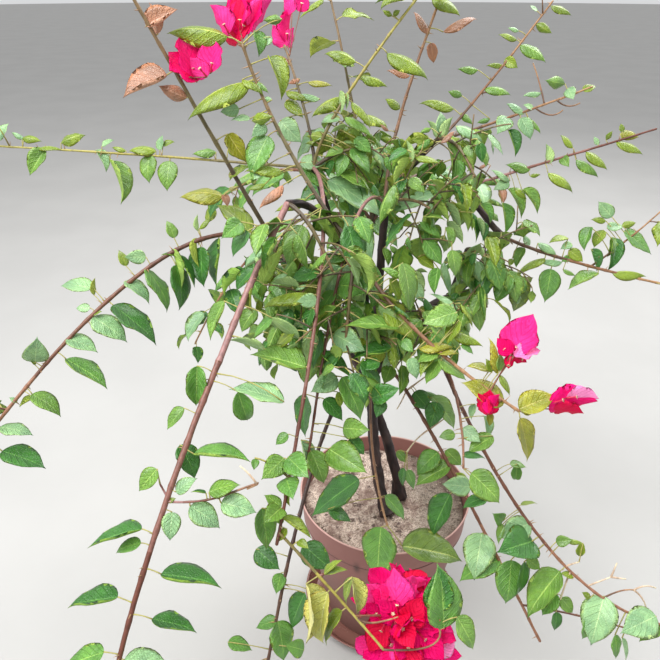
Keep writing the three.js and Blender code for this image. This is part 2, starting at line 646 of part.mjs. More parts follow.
function leafFits(leaf, owner) {
  const wide = {
    ...leaf,
    length: leaf.length + LEAST_SPARE,
    width: leaf.width + 2 * LEAST_SPARE,
    thick: leaf.thick + 2 * LEAST_SPARE,
  };
  const whole = blade(leaf.root, leaf.axis, leaf.normal, wide);
  if (meets(whole, (p) => p.owner !== owner)) return false;
  const start = leaf.root.clone().addScaledVector(leaf.axis, leaf.length * CLEAR_FROM);
  const rest = { ...wide, length: wide.length * (1 - CLEAR_FROM), sink: 0 };
  const outer = blade(start, leaf.axis, leaf.normal, rest);
  return !meets(outer, (p) => p.owner === owner);
}

function addLeaves(mass, luck) {
  const { spec } = mass;
  for (const stem of mass.stems) {
    const step = stem.isTwig || spec.tuft ? TWIG_LEAF_STEP : spec.every;
    const hang = spec.hang ?? (spec.tuft ? TUFT_HANG : CANE_HANG);
    const first = stem.isTwig ? 0.3 : (spec.bare ?? 0.1);
    const count = Math.max(1, Math.round((stem.length * (1 - first)) / step));
    for (let k = 0; k <= count; k++) {
      const share = Math.min(0.985, first + ((1 - first) * k) / count);
      const young = Math.max(0, (share - 0.8) / 0.2);
      const size = LEAF_LENGTH * (spec.tuft ? TUFT_LEAF_SIZE : 1) * (1 - TIP_SHRINK * young);
      for (let attempt = 0; attempt < TRIES; attempt++) {
        const turn = k * GOLDEN_TURN + luck.between(-SHAKE, SHAKE) + attempt * NEXT_TRY;
        const leaf = leafAt(stem, share, turn, size, hang, luck);
        if (!leafFits(leaf, mass.name)) continue;
        const solid = blade(leaf.root, leaf.axis, leaf.normal, leaf);
        place(mass.name, "leaf", solid);
        mass.parts.push(solid);
        break;
      }
    }
  }
}

const massList = [...masses.values()];
massList.forEach((mass, k) => addTwigs(mass, dice(101 + k)));
massList.forEach((mass, k) => addLeaves(mass, dice(501 + k)));
for (const mass of massList) {
  const fused = mass.parts.reduce((whole, part) => whole.add(part));
  show(mass.name, largest(fused), mass.spec.young ? "young_foliage" : "foliage");
}

export default bush;
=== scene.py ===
"""A bougainvillea bush in its pot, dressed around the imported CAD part.

The pot, the saucer and the soil are turned and pressed as by hand. The trunk and boughs get a mesh
with the bark's relief. Each leafy mass grows again from its bough by the source's rule, carried on
to finer twigs, leaf stalks, thorns and full-shaped leaves, and each flower gets its papery bracts
and its small pale tube flowers. Lengths in the growing rule are millimetres, as in the source.
"""

import itertools
import json
import math

import bmesh
import bpy
import numpy as np
from bpy.props import FloatProperty, FloatVectorProperty, IntProperty, PointerProperty
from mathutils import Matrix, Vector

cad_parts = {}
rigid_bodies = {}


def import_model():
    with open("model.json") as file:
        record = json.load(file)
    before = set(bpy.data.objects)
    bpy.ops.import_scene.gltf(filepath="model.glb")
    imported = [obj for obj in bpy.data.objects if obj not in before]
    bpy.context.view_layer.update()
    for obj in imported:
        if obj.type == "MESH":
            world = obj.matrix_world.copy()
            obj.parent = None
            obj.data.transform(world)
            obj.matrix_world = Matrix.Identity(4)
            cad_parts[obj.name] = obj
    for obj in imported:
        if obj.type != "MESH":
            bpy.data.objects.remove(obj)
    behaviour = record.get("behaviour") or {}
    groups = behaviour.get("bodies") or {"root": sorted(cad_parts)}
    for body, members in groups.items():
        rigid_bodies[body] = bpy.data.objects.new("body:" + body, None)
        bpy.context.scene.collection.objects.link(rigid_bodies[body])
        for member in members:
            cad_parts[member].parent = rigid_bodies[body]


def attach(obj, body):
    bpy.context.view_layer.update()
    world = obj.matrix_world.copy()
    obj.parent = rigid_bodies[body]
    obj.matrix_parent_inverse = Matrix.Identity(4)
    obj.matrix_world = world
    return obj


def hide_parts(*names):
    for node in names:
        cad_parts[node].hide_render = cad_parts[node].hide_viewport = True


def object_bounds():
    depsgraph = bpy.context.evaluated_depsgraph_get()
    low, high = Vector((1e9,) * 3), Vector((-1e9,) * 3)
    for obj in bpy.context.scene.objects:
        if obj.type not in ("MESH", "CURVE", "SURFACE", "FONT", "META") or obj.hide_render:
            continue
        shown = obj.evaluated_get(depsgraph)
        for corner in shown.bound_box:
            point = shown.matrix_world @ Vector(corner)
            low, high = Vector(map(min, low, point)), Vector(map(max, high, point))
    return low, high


bl_info = {
    "name": "Bougainvillea Bush",
    "version": (1, 0, 0),
    "blender": (4, 5, 0),
    "location": "3D View > Sidebar > Bush",
    "description": "Builds a potted bougainvillea bush around the packed CAD part",
    "category": "Add Mesh",
}

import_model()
CAD_BOX = [list(corner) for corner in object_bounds()]
BODY = "root"

BLADE_MAP = "blade"

MM = 0.001
DEGREE = math.pi / 180
UP = np.array([0.0, 0.0, 1.0])

# The photograph's camera: its place, its tilt from looking straight down and its focal length in pixels
CAMERA_PLACE = (-0.084, -0.748, 0.936)
CAMERA_TILT = 61.1 * DEGREE
FRAME = 660
FOCAL = 640

# Measures that the source's solids have, in millimetres
SAUCER_FLOOR = 3
GAP = 0.3
POT_WALL = 3
SOIL_MOUND = 5
SOIL_SPREAD = 5

# How the round pieces are turned, in metres and numbers of sides
BAND_OUT = 0.009  # the rim stands out this far past the wall below its band
EASE = 0.0012
POT_SIDES = 128
SOIL_SIDES = 150
SOIL_RINGS = 40
GRAINS = 520

# Where each repeatable stream of numbers starts
SEEDS = dict(grit=7, canes=23, blooms=31, limbs=61, twigs=101, leaves=501, shown=901)


def srgb(*levels):
    """A screen colour of 0 to 255 as the linear colour that a shader takes."""
    shares = [level / 255 for level in levels]
    return (*(share / 12.92 if share <= 0.04045 else ((share + 0.055) / 1.055) ** 2.4 for share in shares), 1)


def tinted(colour, red, green, blue, more=0.0):
    """A colour with each of its channels scaled, and a little white added."""
    return (*(min(1, c * k + more) for c, k in zip(colour, (red, green, blue))), 1)


def dimmed(colour, share):
    return tinted(colour, share, share, share)


# Shader nodes
class Value:
    """What one node of a material gives. Sums and products of it add Math nodes."""

    def __init__(self, finish, socket):
        self.finish = finish
        self.socket = socket

    def math(self, operation, other, flipped=False):
        first, second = (other, self) if flipped else (self, other)
        return self.finish.node("ShaderNodeMath", {"operation": operation}, {0: first, 1: second})

    def made_by(operation, flipped=False):
        return lambda value, other: value.math(operation, other, flipped)

    __add__, __radd__ = made_by("ADD"), made_by("ADD", True)
    __sub__, __rsub__ = made_by("SUBTRACT"), made_by("SUBTRACT", True)
    __mul__, __rmul__ = made_by("MULTIPLY"), made_by("MULTIPLY", True)
    __pow__ = made_by("POWER")


class Finish:
    """A material whose patterns lie in the piece's own coordinates, in metres."""

    def __init__(self, name):
        self.material = bpy.data.materials.new(name)
        self.material.use_nodes = True
        self.tree = self.material.node_tree
        self.surface = self.tree.nodes["Principled BSDF"]

    def feed(self, socket, value):
        if isinstance(value, Value):
            self.tree.links.new(value.socket, socket)
        else:
            socket.default_value = value

    def node(self, kind, settings=None, inputs=None, output=0):
        made = self.tree.nodes.new(kind)
        for name, value in (settings or {}).items():
            if name == "stops":
                for element, (place, colour) in zip(self._elements(made, len(value)), value):
                    element.position = place
                    element.color = colour
            else:
                setattr(made, name, value)
        for name, value in (inputs or {}).items():
            self.feed(made.inputs[name], value)
        return Value(self, made.outputs[output])

    @staticmethod
    def _elements(ramp, count):
        while len(ramp.color_ramp.elements) < count:
            ramp.color_ramp.elements.new(1.0)
        return ramp.color_ramp.elements

    def place(self, stretch=(1, 1, 1)):
        spot = self.node("ShaderNodeTexCoord", output="Object")
        return self.node("ShaderNodeMapping", None, {"Vector": spot, "Scale": stretch})

    def along(self, axis):
        """The place along X, Y or Z."""
        return self.node("ShaderNodeSeparateXYZ", None, {0: self.place()}, output=axis)

    def line(self, value, middle, half):
        """1 at a value, and 0 where it is `half` away or more."""
        away = (value - middle).math("ABSOLUTE", 0)
        return self.band(away, half, 0.0)

    def noise(self, scale, detail=3.0, stretch=(1, 1, 1), rough=0.5):
        inputs = {"Vector": self.place(stretch), "Scale": scale, "Detail": detail, "Roughness": rough}
        return self.node("ShaderNodeTexNoise", None, inputs)

    def cells(self, scale, feature="F1", stretch=(1, 1, 1)):
        inputs = {"Vector": self.place(stretch), "Scale": scale}
        return self.node("ShaderNodeTexVoronoi", {"feature": feature}, inputs)

    def band(self, value, low, high):
        """0 below low, 1 above high and smooth between them."""
        inputs = {"Value": value, "From Min": low, "From Max": high}
        return self.node("ShaderNodeMapRange", {"interpolation_type": "SMOOTHSTEP"}, inputs)

    def mix(self, share, low, high):
        return self.node("ShaderNodeMix", {"data_type": "RGBA"}, {0: share, 6: low, 7: high}, output=2)

    def bump(self, height, strength, distance):
        return self.node(
            "ShaderNodeBump", None, {"Height": height, "Strength": strength, "Distance": distance}
        )

    def surfaced(self, **values):
        """Sets the shader's sockets and gives back the material."""
        for name, value in values.items():
            self.feed(self.surface.inputs[name.replace("_", " ")], value)
        return self.material


# Meshes
def clear_selection():
    bpy.ops.object.select_all(action="DESELECT")


def choose(piece):
    clear_selection()
    piece.select_set(True)
    bpy.context.view_layer.objects.active = piece


def dressed(piece, name, nodes, materials):
    """Names a piece, gives it its finishes and its body, and lets it stand for its CAD nodes."""
    piece.name = name
    piece.data.name = name
    piece.data.materials.clear()
    for material in materials:
        piece.data.materials.append(material)
    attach(piece, BODY)
    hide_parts(*nodes)


class Heap:
    """Many small shapes that become one mesh. Points are in millimetres."""

    def __init__(self):
        self.points = []
        self.faces = []
        self.finishes = []
        self.marks = []
        self.count = 0

    def add(self, points, groups, finishes=(0, 0, 0)):
        """Adds groups of faces on new points, with a finish for each group or each face of a group."""
        self.points.append(points)
        for group, finish in zip(groups, finishes):
            self.faces.extend((group + self.count).tolist())
            self.finishes.extend(np.broadcast_to(finish, len(group)).tolist())
        self.count += len(points)

    def piece(self, name, slot, nodes, materials):
        mesh = bpy.data.meshes.new(name)
        mesh.from_pydata((np.concatenate(self.points) * MM).tolist(), [], self.faces)
        mesh.polygons.foreach_set("use_smooth", [True] * len(self.faces))
        if self.marks:
            marks = np.concatenate(self.marks)
            corners = np.empty(len(mesh.loops), int)
            mesh.loops.foreach_get("vertex_index", corners)
            mesh.uv_layers.new(name=BLADE_MAP).data.foreach_set("uv", marks[corners].ravel())
        made = bpy.data.objects.new(name, mesh)
        bpy.context.scene.collection.objects.link(made)
        dressed(made, name, nodes, materials)
        mesh.polygons.foreach_set("material_index", self.finishes)


def turned(profile, sides):
    """A closed round piece: a disc drawn on from ring to ring of its profile, in metres."""
    (radius, height), *rings = profile
    clear_selection()
    bpy.ops.mesh.primitive_circle_add(
        vertices=sides, radius=radius, fill_type="NGON", location=(0, 0, height)
    )
    bpy.ops.object.mode_set(mode="EDIT")
    for next_radius, next_height in rings:
        bpy.ops.mesh.extrude_region_move(
            TRANSFORM_OT_translate={"value": (0, 0, next_height - height)}
        )
        share = next_radius / radius
        bpy.ops.transform.resize(value=(share, share, 1), center_override=(0, 0, next_height))
        radius, height = next_radius, next_height
    bpy.ops.mesh.select_all(action="SELECT")
    bpy.ops.mesh.normals_make_consistent(inside=False)
    bpy.ops.object.mode_set(mode="OBJECT")
    piece = bpy.context.object
    bpy.ops.object.transform_apply(location=True, rotation=True, scale=True)
    bpy.ops.object.shade_smooth_by_angle(angle=40 * DEGREE)
    return piece


def eased(corners, ease, steps=3):
    """A profile whose corners are rounded off by `ease`, less where its edges are short."""
    points = [corners[0]]
    for before, corner, after in zip(corners, corners[1:], corners[2:]):
        here = np.array(corner)
        back, on = np.array(before) - here, np.array(after) - here
        size = min(ease, 0.45 * np.linalg.norm(back), 0.45 * np.linalg.norm(on))
        first = here + back / np.linalg.norm(back) * size
        last = here + on / np.linalg.norm(on) * size
        points.extend(curved(first, here, last, steps + 1).tolist())
    points.append(corners[-1])
    return points


def tube(points, radii, sides, relief=None, blunt=0.6):
    """Points and faces of a closed tube along a line. `relief` swells it by ring and side."""
    points = np.asarray(points, float)
    radii = np.asarray(radii, float)
    ahead = np.gradient(points, axis=0)
    ahead /= np.linalg.norm(ahead, axis=1)[:, None]
    side = np.cross(ahead[0], UP if abs(ahead[0][2]) < 0.9 else np.array([1.0, 0.0, 0.0]))
    sides_at = np.empty_like(points)
    for k, heading in enumerate(ahead):
        side = side - heading * side.dot(heading)
        side /= np.linalg.norm(side)
        sides_at[k] = side
    over_at = np.cross(ahead, sides_at)
    turn = np.arange(sides) / sides * 2 * math.pi
    swell = radii[:, None] * (1 if relief is None else relief)
    rings = (
        points[:, None]
        + sides_at[:, None] * (swell * np.cos(turn))[..., None]
        + over_at[:, None] * (swell * np.sin(turn))[..., None]
    )
    count = len(points)
    ends = [points[0] - ahead[0] * radii[0] * blunt, points[-1] + ahead[-1] * radii[-1] * blunt]
    ring, spot = np.meshgrid(np.arange(count - 1), np.arange(sides), indexing="ij")
    this, following = ring * sides + spot, ring * sides + (spot + 1) % sides
    quads = np.stack([this, following, following + sides, this + sides], -1).reshape(-1, 4)
    spots = np.arange(sides)
    ahead_spots = (spots + 1) % sides
    foot, tip = count * sides, count * sides + 1
    last = (count - 1) * sides
    foot_fan = np.stack([np.full(sides, foot), ahead_spots, spots], -1)
    tip_fan = np.stack([np.full(sides, tip), last + spots, last + ahead_spots], -1)
    return np.vstack([rings.reshape(-1, 3), ends]), [quads, foot_fan, tip_fan]


# The growing rule
class Dice:
    """The source's repeatable stream of numbers from 0 to 1 (the Park-Miller rule)."""

    FACTOR = 48271
    RANGE = 2147483647

    def __init__(self, seed):
        self.state = seed
        self.roll()

    def roll(self):
        self.state = self.state * self.FACTOR % self.RANGE
        return self.state / self.RANGE

    def between(self, low, high):
        return low + (high - low) * self.roll()

    def pick(self, shares):
        """One name from a dictionary of names and their shares."""
        left = self.roll() * sum(shares.values())
        for name, share in shares.items():
            left -= share
            if left <= 0:
                return name
        return name


def heading(azimuth):
    return np.array([math.cos(azimuth * DEGREE), math.sin(azimuth * DEGREE), 0.0])


def unit(vector):
    return vector / np.linalg.norm(vector)


def curved(start, pull, end, count):
    """Points on the curve that leaves its start for `pull` and bends to its end."""
    share = np.linspace(0, 1, count)[:, None]
    return (1 - share) ** 2 * start + 2 * share * (1 - share) * pull + share**2 * end


def arch(start, azimuth, reach, rise, lean=0.5, bow=0, climb=None):
    """Start, pull and end of the curve that a limb's or a cane's measures describe."""
    climb = rise / 2 if climb is None else climb
    ahead = heading(azimuth)
    pull = start + ahead * reach * lean + heading(azimuth + 90) * bow + UP * climb
    return start, pull, start + ahead * reach + UP * rise


class Stem:
    """A stem that follows a bent path and tapers from foot to tip."""

    STEPS = 160

    def __init__(self, curve, thick, **facts):
        self.line = curved(*curve, self.STEPS + 1)
        walked = np.concatenate([[0], np.cumsum(np.linalg.norm(np.diff(self.line, axis=0), axis=1))])
        self.length = walked[-1]
        self.shares = walked / self.length
        self.thick = thick
        self.facts = facts

    def at(self, share):
        return np.array([np.interp(share, self.shares, self.line[:, k]) for k in range(3)]).T

    def ahead(self, share):
        low, high = max(0, share - 0.01), min(1, share + 0.01)
        return unit(self.at(high) - self.at(low))

    def radius(self, share):
        return self.thick[0] + (self.thick[1] - self.thick[0]) * share


def outwards(ahead, turn):
    across = unit(np.cross(ahead, UP))
    over = np.cross(across, ahead)
    return across * math.cos(turn * DEGREE) + over * math.sin(turn * DEGREE)


def leaf_side(ahead, turn):
    """The same, but on a level stem the leaves keep to its two sides."""
    across = unit(np.cross(ahead, UP))
    out = outwards(ahead, turn)
    lean = out.dot(across)
    return unit(out + across * math.copysign(1.2, lean) * (1 - abs(ahead[2])))


class Eye:
    """The photograph's camera, for leaves that are placed where it shows them."""

    def __init__(self):
        self.place = np.array(CAMERA_PLACE) / MM
        self.ahead = np.array([0, math.sin(CAMERA_TILT), -math.cos(CAMERA_TILT)])
        self.up = np.array([0, math.cos(CAMERA_TILT), math.sin(CAMERA_TILT)])
        self.right = np.array([1.0, 0.0, 0.0])

    def pixels(self, points):
        """Where points fall in the frame, and how deep they lie."""
        away = points - self.place
        depth = away @ self.ahead
        across = away @ self.right / depth * FOCAL + FRAME / 2
        down = FRAME / 2 - away @ self.up / depth * FOCAL
        return np.stack([across, down], -1), depth

    def spot(self, x, y, depth):
        """The point at a depth behind a pixel."""
        ray = self.ahead + (self.right * (x - FRAME / 2) + self.up * (FRAME / 2 - y)) / FOCAL
        return self.place + ray * depth


# Stems and boughs, as in the source: each leaves the end of the limb named in `limb`.
LIMBS = {
    "trunk": dict(
        foot=(3.5, -37.5), azimuth=119.8, reach=57.2, rise=215, lean=0.85, climb=49, thick=(8.5, 7)
    ),
    "second_stem": dict(
        foot=(23.7, 0.7), azimuth=148, reach=85.4, rise=227, lean=0.13, bow=-8.7, climb=74, thick=(8, 6)
    ),
    "bough_right": dict(limb="trunk", azimuth=20, reach=114, rise=106, lean=0.35, climb=92, thick=(6.5, 6)),
    "elbow_bough": dict(
        limb="bough_right", azimuth=31, reach=82, rise=76, lean=0.6, climb=22, thick=(5.8, 5)
    ),
    "elbow_return": dict(
        limb="elbow_bough", azimuth=160, reach=58, rise=60, lean=0.5, climb=28, thick=(4.6, 3.6)
    ),
    "elbow_twig": dict(
        limb="bough_right", azimuth=43, reach=28, rise=64, lean=0.3, climb=20, thick=(3.6, 2.8)
    ),
    "bough_low": dict(limb="trunk", azimuth=-37, reach=87, rise=96, lean=0.4, climb=62, thick=(5, 3.8)),
    "bough_front": dict(
        limb="trunk", azimuth=-105, reach=120, rise=236, lean=0.35, climb=140, thick=(5.5, 4.2)
    ),
    "bough_middle": dict(limb="trunk", azimuth=34, reach=11, rise=249, lean=0.5, climb=125, thick=(6, 4.8)),
    "bough_upper": dict(
        limb="bough_middle", azimuth=35, reach=82, rise=69, lean=0.35, climb=42, thick=(4.6, 3.6)
    ),
    "bough_arch": dict(
        limb="trunk", azimuth=-135, reach=147, rise=286, lean=0.38, climb=280, thick=(5.5, 3.8)
    ),
    "bough_left": dict(
        limb="second_stem", azimuth=219, reach=122, rise=191, lean=0.35, climb=115, thick=(5.5, 4)
    ),
    "bough_top": dict(
        limb="second_stem", azimuth=186, reach=56, rise=277, lean=0.2, climb=150, thick=(5, 3.6)
    ),
    "bough_back": dict(
        limb="second_stem", azimuth=72, reach=82, rise=178, lean=0.4, climb=100, thick=(5.5, 4)
    ),
}

# Leafy canes, with the source's measures. `bark` and `tint` name what covers the stem and the leaves,
# `shoots` is the share of nodes that carry a short side shoot, and the photograph doesn't show the canes
# at the back, whose `seen` is False.
CANES = {
    "cane_left_low": dict(
        limb="bough_arch", azimuth=-113, reach=388, rise=-380, lean=0.78, bow=-12, climb=-218,
        thick=(3.6, 2), bare=0.12, every=40, bark="rose", tint="deep_spray",
    ),
    "cane_left_middle": dict(
        limb="bough_left", azimuth=-147, reach=420, rise=-190, lean=0.2, bow=-70, climb=110,
        thick=(2.8, 1.6), bare=0.14, every=30, hang=0.5, bark="russet", tint="deep_spray",
    ),
    "cane_left_high": dict(
        limb="bough_top", azimuth=172, reach=440, rise=14, lean=0.4, bow=-84, climb=-14,
        thick=(2, 1.2), bare=0.15, every=34, bark="straw", tint="light_spray",
    ),
    "shoot_top_left": dict(
        limb="bough_left", azimuth=179, reach=165, rise=330, lean=0.5, climb=165,
        thick=(2.8, 1.6), bare=0.2, every=36, bark="olive", tint="copper_spray",
    ),
    "shoot_top_bloom": dict(
        limb="bough_front", azimuth=144, reach=148, rise=198, lean=0.76, bow=-5, climb=99,
        thick=(2.6, 1.6), bare=0.1, every=22, bark="olive", tint="young_spray", shoots=0.3,
    ),
    "shoot_top_back": dict(
        limb="bough_top", azimuth=114, reach=90, rise=132, lean=0.2, bow=-12, climb=30,
        thick=(2, 1.4), bare=0.15, every=22, bark="olive", tint="light_spray", shoots=0.3,
    ),
    "shoot_top_middle": dict(
        limb="bough_top", azimuth=27, reach=168, rise=215, lean=0.08, bow=16, climb=50,
        thick=(2.2, 1.3), bare=0.15, every=24, bark="straw", tint="young_spray", shoots=0.3,
    ),
    "shoot_top_right": dict(
        limb="bough_middle", azimuth=60, reach=172, rise=262, lean=0.55, bow=50, climb=55,
        thick=(2.4, 1.4), bare=0.15, every=22, bark="tan", tint="young_spray", shoots=0.3,
    ),
    "cane_top_right": dict(
        limb="bough_upper", azimuth=41, reach=212, rise=150, lean=0.3, bow=34, climb=-10,
        thick=(2, 1.2), bare=0.1, every=23, bark="tan", tint="light_spray", shoots=0.35,
    ),
    "cane_right_top": dict(
        limb="bough_upper", azimuth=22, reach=230, rise=50, lean=0.3, bow=46, climb=-8,
        thick=(2, 1.2), bare=0.15, every=23, bark="tan", tint="light_spray", shoots=0.35,
    ),
    "cane_right_high": dict(
        limb="elbow_return", azimuth=-3, reach=240, rise=82, lean=0.5, bow=22, climb=35,
        thick=(2.2, 1.2), bare=0.12, every=22, hang=0.2, bark="rose", tint="light_spray", shoots=0.3,
    ),
    "cane_right_middle": dict(
        limb="elbow_bough", azimuth=-6, reach=296, rise=-76, lean=0.25, bow=10, climb=-40,
        thick=(2.6, 1.4), bare=0.12, every=24, bark="tan", tint="light_spray", shoots=0.4,
        fork=dict(at=0.45, azimuth=22, reach=110, rise=68, lean=0.5, climb=26, thick=(1.6, 1)),
    ),
    "cane_right_low": dict(
        limb="bough_low", azimuth=-45, reach=342, rise=-233, lean=0.65, bow=-70, climb=-228,
        thick=(2.6, 1.4), bare=0.12, every=26, bark="russet", tint="mixed_spray", shoots=0.25,
    ),
    "cane_right_drop": dict(
        limb="bough_low", azimuth=-84, reach=168, rise=-72, lean=0.62, bow=13, climb=-10,
        thick=(1.9, 1.2), bare=0.3, every=24, bark="russet", tint="light_spray", shoots=0.3,
    ),
    "cane_right_bloom": dict(
        limb="bough_front", azimuth=-38, reach=203, rise=-119, lean=0.35, bow=-23, climb=-65,
        thick=(2.4, 1.5), bare=0.15, every=22, bark="tan", tint="golden_spray", shoots=0.25,
    ),
    "cane_front_short": dict(
        limb="bough_middle", azimuth=-111, reach=258, rise=-205, lean=0.17, bow=-32, climb=72,
        thick=(2.2, 1.3), bare=0.2, every=26, bark="rose", tint="mixed_spray", shoots=0.2,
    ),
    "cane_front_right": dict(
        limb="trunk", azimuth=-54, reach=330, rise=-205, lean=-0.12, climb=145,
        thick=(2.8, 1.6), bare=0.3, every=26, bark="russet", tint="mixed_spray", shoots=0.25,
        fork=dict(at=0.9, azimuth=-14, reach=120, rise=-4, lean=0.5, climb=4, thick=(1.4, 1)),
    ),
    "cane_front_dark": dict(
        limb="trunk", azimuth=-111, reach=384, rise=-204, lean=0.34, bow=-15, climb=143,
        thick=(2.8, 1.6), bare=0.25, every=30, bark="dark", tint="deep_spray", shoots=0.15,
    ),
    "cane_front_drop": dict(
        limb="trunk", azimuth=-86, reach=179, rise=-104, lean=0.47, bow=-16, climb=-63,
        thick=(2, 1.3), bare=0.5, every=20, bark="tan", tint="mixed_spray", shoots=0.1,
    ),
    "cane_front_bloom": dict(
        limb="bough_top", azimuth=-95, reach=352, rise=-270, lean=0.4, bow=51, climb=9,
        thick=(2.6, 1.6), bare=0.2, every=28, bark="rose", tint="mixed_spray", shoots=0.15,
        fork=dict(
            at=0.975, azimuth=-33, reach=118, rise=-84, lean=0.45, climb=-34, thick=(1.7, 1.2),
            bark="straw", tint="yellow_spray",
        ),
    ),
    "cane_back_left": dict(
        limb="bough_back", azimuth=142, reach=330, rise=-40, lean=0.4, climb=120,
        thick=(2.6, 1.4), bare=0.15, every=26, twigs=1,
        seen=False, bark="russet", tint="mixed_spray", shoots=0.3,
    ),
    "cane_back_middle": dict(
        limb="bough_back", azimuth=98, reach=330, rise=-150, lean=0.45, climb=110,
        thick=(2.6, 1.4), bare=0.15, every=26, twigs=1,
        seen=False, bark="rose", tint="mixed_spray", shoots=0.3,
    ),
    "cane_back_right": dict(
        limb="bough_back", azimuth=48, reach=340, rise=-70, lean=0.4, climb=120,
        thick=(2.6, 1.4), bare=0.15, every=26, twigs=1,
        seen=False, bark="russet", tint="light_spray", shoots=0.3,
    ),
    "shoot_back_high": dict(
        limb="bough_back", azimuth=120, reach=130, rise=300, lean=0.4, climb=150,
        thick=(2.4, 1.3), bare=0.2, every=26,
        seen=False, bark="olive", tint="young_spray", shoots=0.3,
    ),
    "cane_back_drop": dict(
        limb="bough_back", azimuth=170, reach=290, rise=-230, lean=0.5, climb=60,
        thick=(2.4, 1.3), bare=0.2, every=28,
        seen=False, bark="tan", tint="mixed_spray", shoots=0.2,
    ),
}

# The dense middle of the crown: short stems with many side twigs.
TUFTS = {
    "crown_left": dict(limb="bough_left", azimuth=-60, reach=66, rise=-45, climb=6, twigs=6),
    "crown_top": dict(limb="bough_top", azimuth=10, reach=74, rise=22, climb=26, twigs=6),
    "crown_front": dict(limb="bough_front", azimuth=-105, reach=44, rise=-96, lean=0.6, climb=-20, twigs=7),
    "crown_front_left": dict(limb="bough_arch", azimuth=-40, reach=62, rise=-60, climb=-4, twigs=6),
    "crown_right": dict(limb="elbow_twig", azimuth=-60, reach=62, rise=-10, climb=16, twigs=6),
    "crown_middle": dict(limb="bough_middle", azimuth=-50, reach=72, rise=14, climb=24, twigs=7),
    "crown_upper": dict(limb="bough_upper", azimuth=-60, reach=72, rise=-30, climb=12, twigs=6),
    "crown_back": dict(limb="bough_back", azimuth=80, reach=80, rise=50, climb=30, twigs=7),
    "crown_low": dict(limb="bough_low", azimuth=-125, reach=40, rise=56, climb=20, twigs=6),
}

# Flower clusters: each stalk leaves a cane, or its fork, at the share `at`.
BLOOMS = {
    "bloom_top_left": dict(on="shoot_top_left", at=0.6, azimuth=-35, reach=8, rise=2, flowers=2, spread=44),
    "bloom_top_middle": dict(
        on="shoot_top_bloom", at=0.96, azimuth=100, reach=4, rise=4, flowers=3, spread=55
    ),
    "bloom_top_back": dict(on="shoot_top_back", at=0.9, azimuth=40, reach=3, rise=4, flowers=2, spread=34),
    "bloom_right_high": dict(on="cane_right_bloom", at=0.86, azimuth=40, reach=10, rise=12, flowers=1),
    "bloom_right_near": dict(
        on="cane_right_bloom", at=0.92, azimuth=-130, reach=6, rise=2, flowers=1, small=True
    ),
    "bloom_right_low": dict(on="cane_right_bloom", at=1, azimuth=4, reach=16, rise=2, flowers=1),
    "bloom_front": dict(
        on="cane_front_bloom", fork=True, at=0.72, azimuth=14, reach=42, rise=-12, flowers=13, spread=116
    ),
}

# Side twigs that the photograph shows, by their pixels, each grown from the cane named
SHOWN_TWIGS = {
    "cane_left_low": (
        ("rose", (165, 503), (190, 502), (217, 498)), ("rose", (168, 498), (164, 491), (160, 484)),
        ("tan", (268, 478), (258, 483), (247, 489)), ("cream", (256, 482), (248, 473), (240, 466)),
    ),
    "cane_top_right": (("tan", (475, 90), (490, 92), (506, 93)),),
    "cane_right_top": (
        ("tan", (543, 101), (539, 82), (533, 63)), ("tan", (556, 99), (568, 106), (580, 103)),
        ("tan", (537, 112), (550, 115), (563, 110)),
    ),
    "cane_front_right": (
        ("cream", (406, 391), (421, 380), (437, 369)), ("cream", (406, 391), (402, 400), (397, 409)),
        ("cream", (430, 428), (437, 424), (445, 418)), ("cream", (430, 428), (418, 438), (407, 452)),
    ),
    "cane_right_low": (
        ("cream", (590, 584), (603, 580), (611, 577)), ("cream", (611, 577), (614, 570), (617, 563)),
        ("cream", (611, 577), (618, 578), (626, 579)), ("cream", (570, 573), (564, 588), (558, 606)),
        ("tan", (607, 594), (620, 591), (634, 590)), ("cream", (634, 590), (642, 598), (646, 607)),
        ("cream", (634, 590), (645, 586), (656, 588)), ("cream", (566, 566), (572, 564), (579, 562)),
    ),
    "cane_front_bloom": (
        ("straw", (281, 478), (270, 464), (255, 458)), ("tan", (352, 622), (372, 623), (398, 617)),
        ("tan", (424, 660), (432, 645), (437, 622)),
        ("rose", (314, 579), (319, 576), (324, 574)),
    ),
}

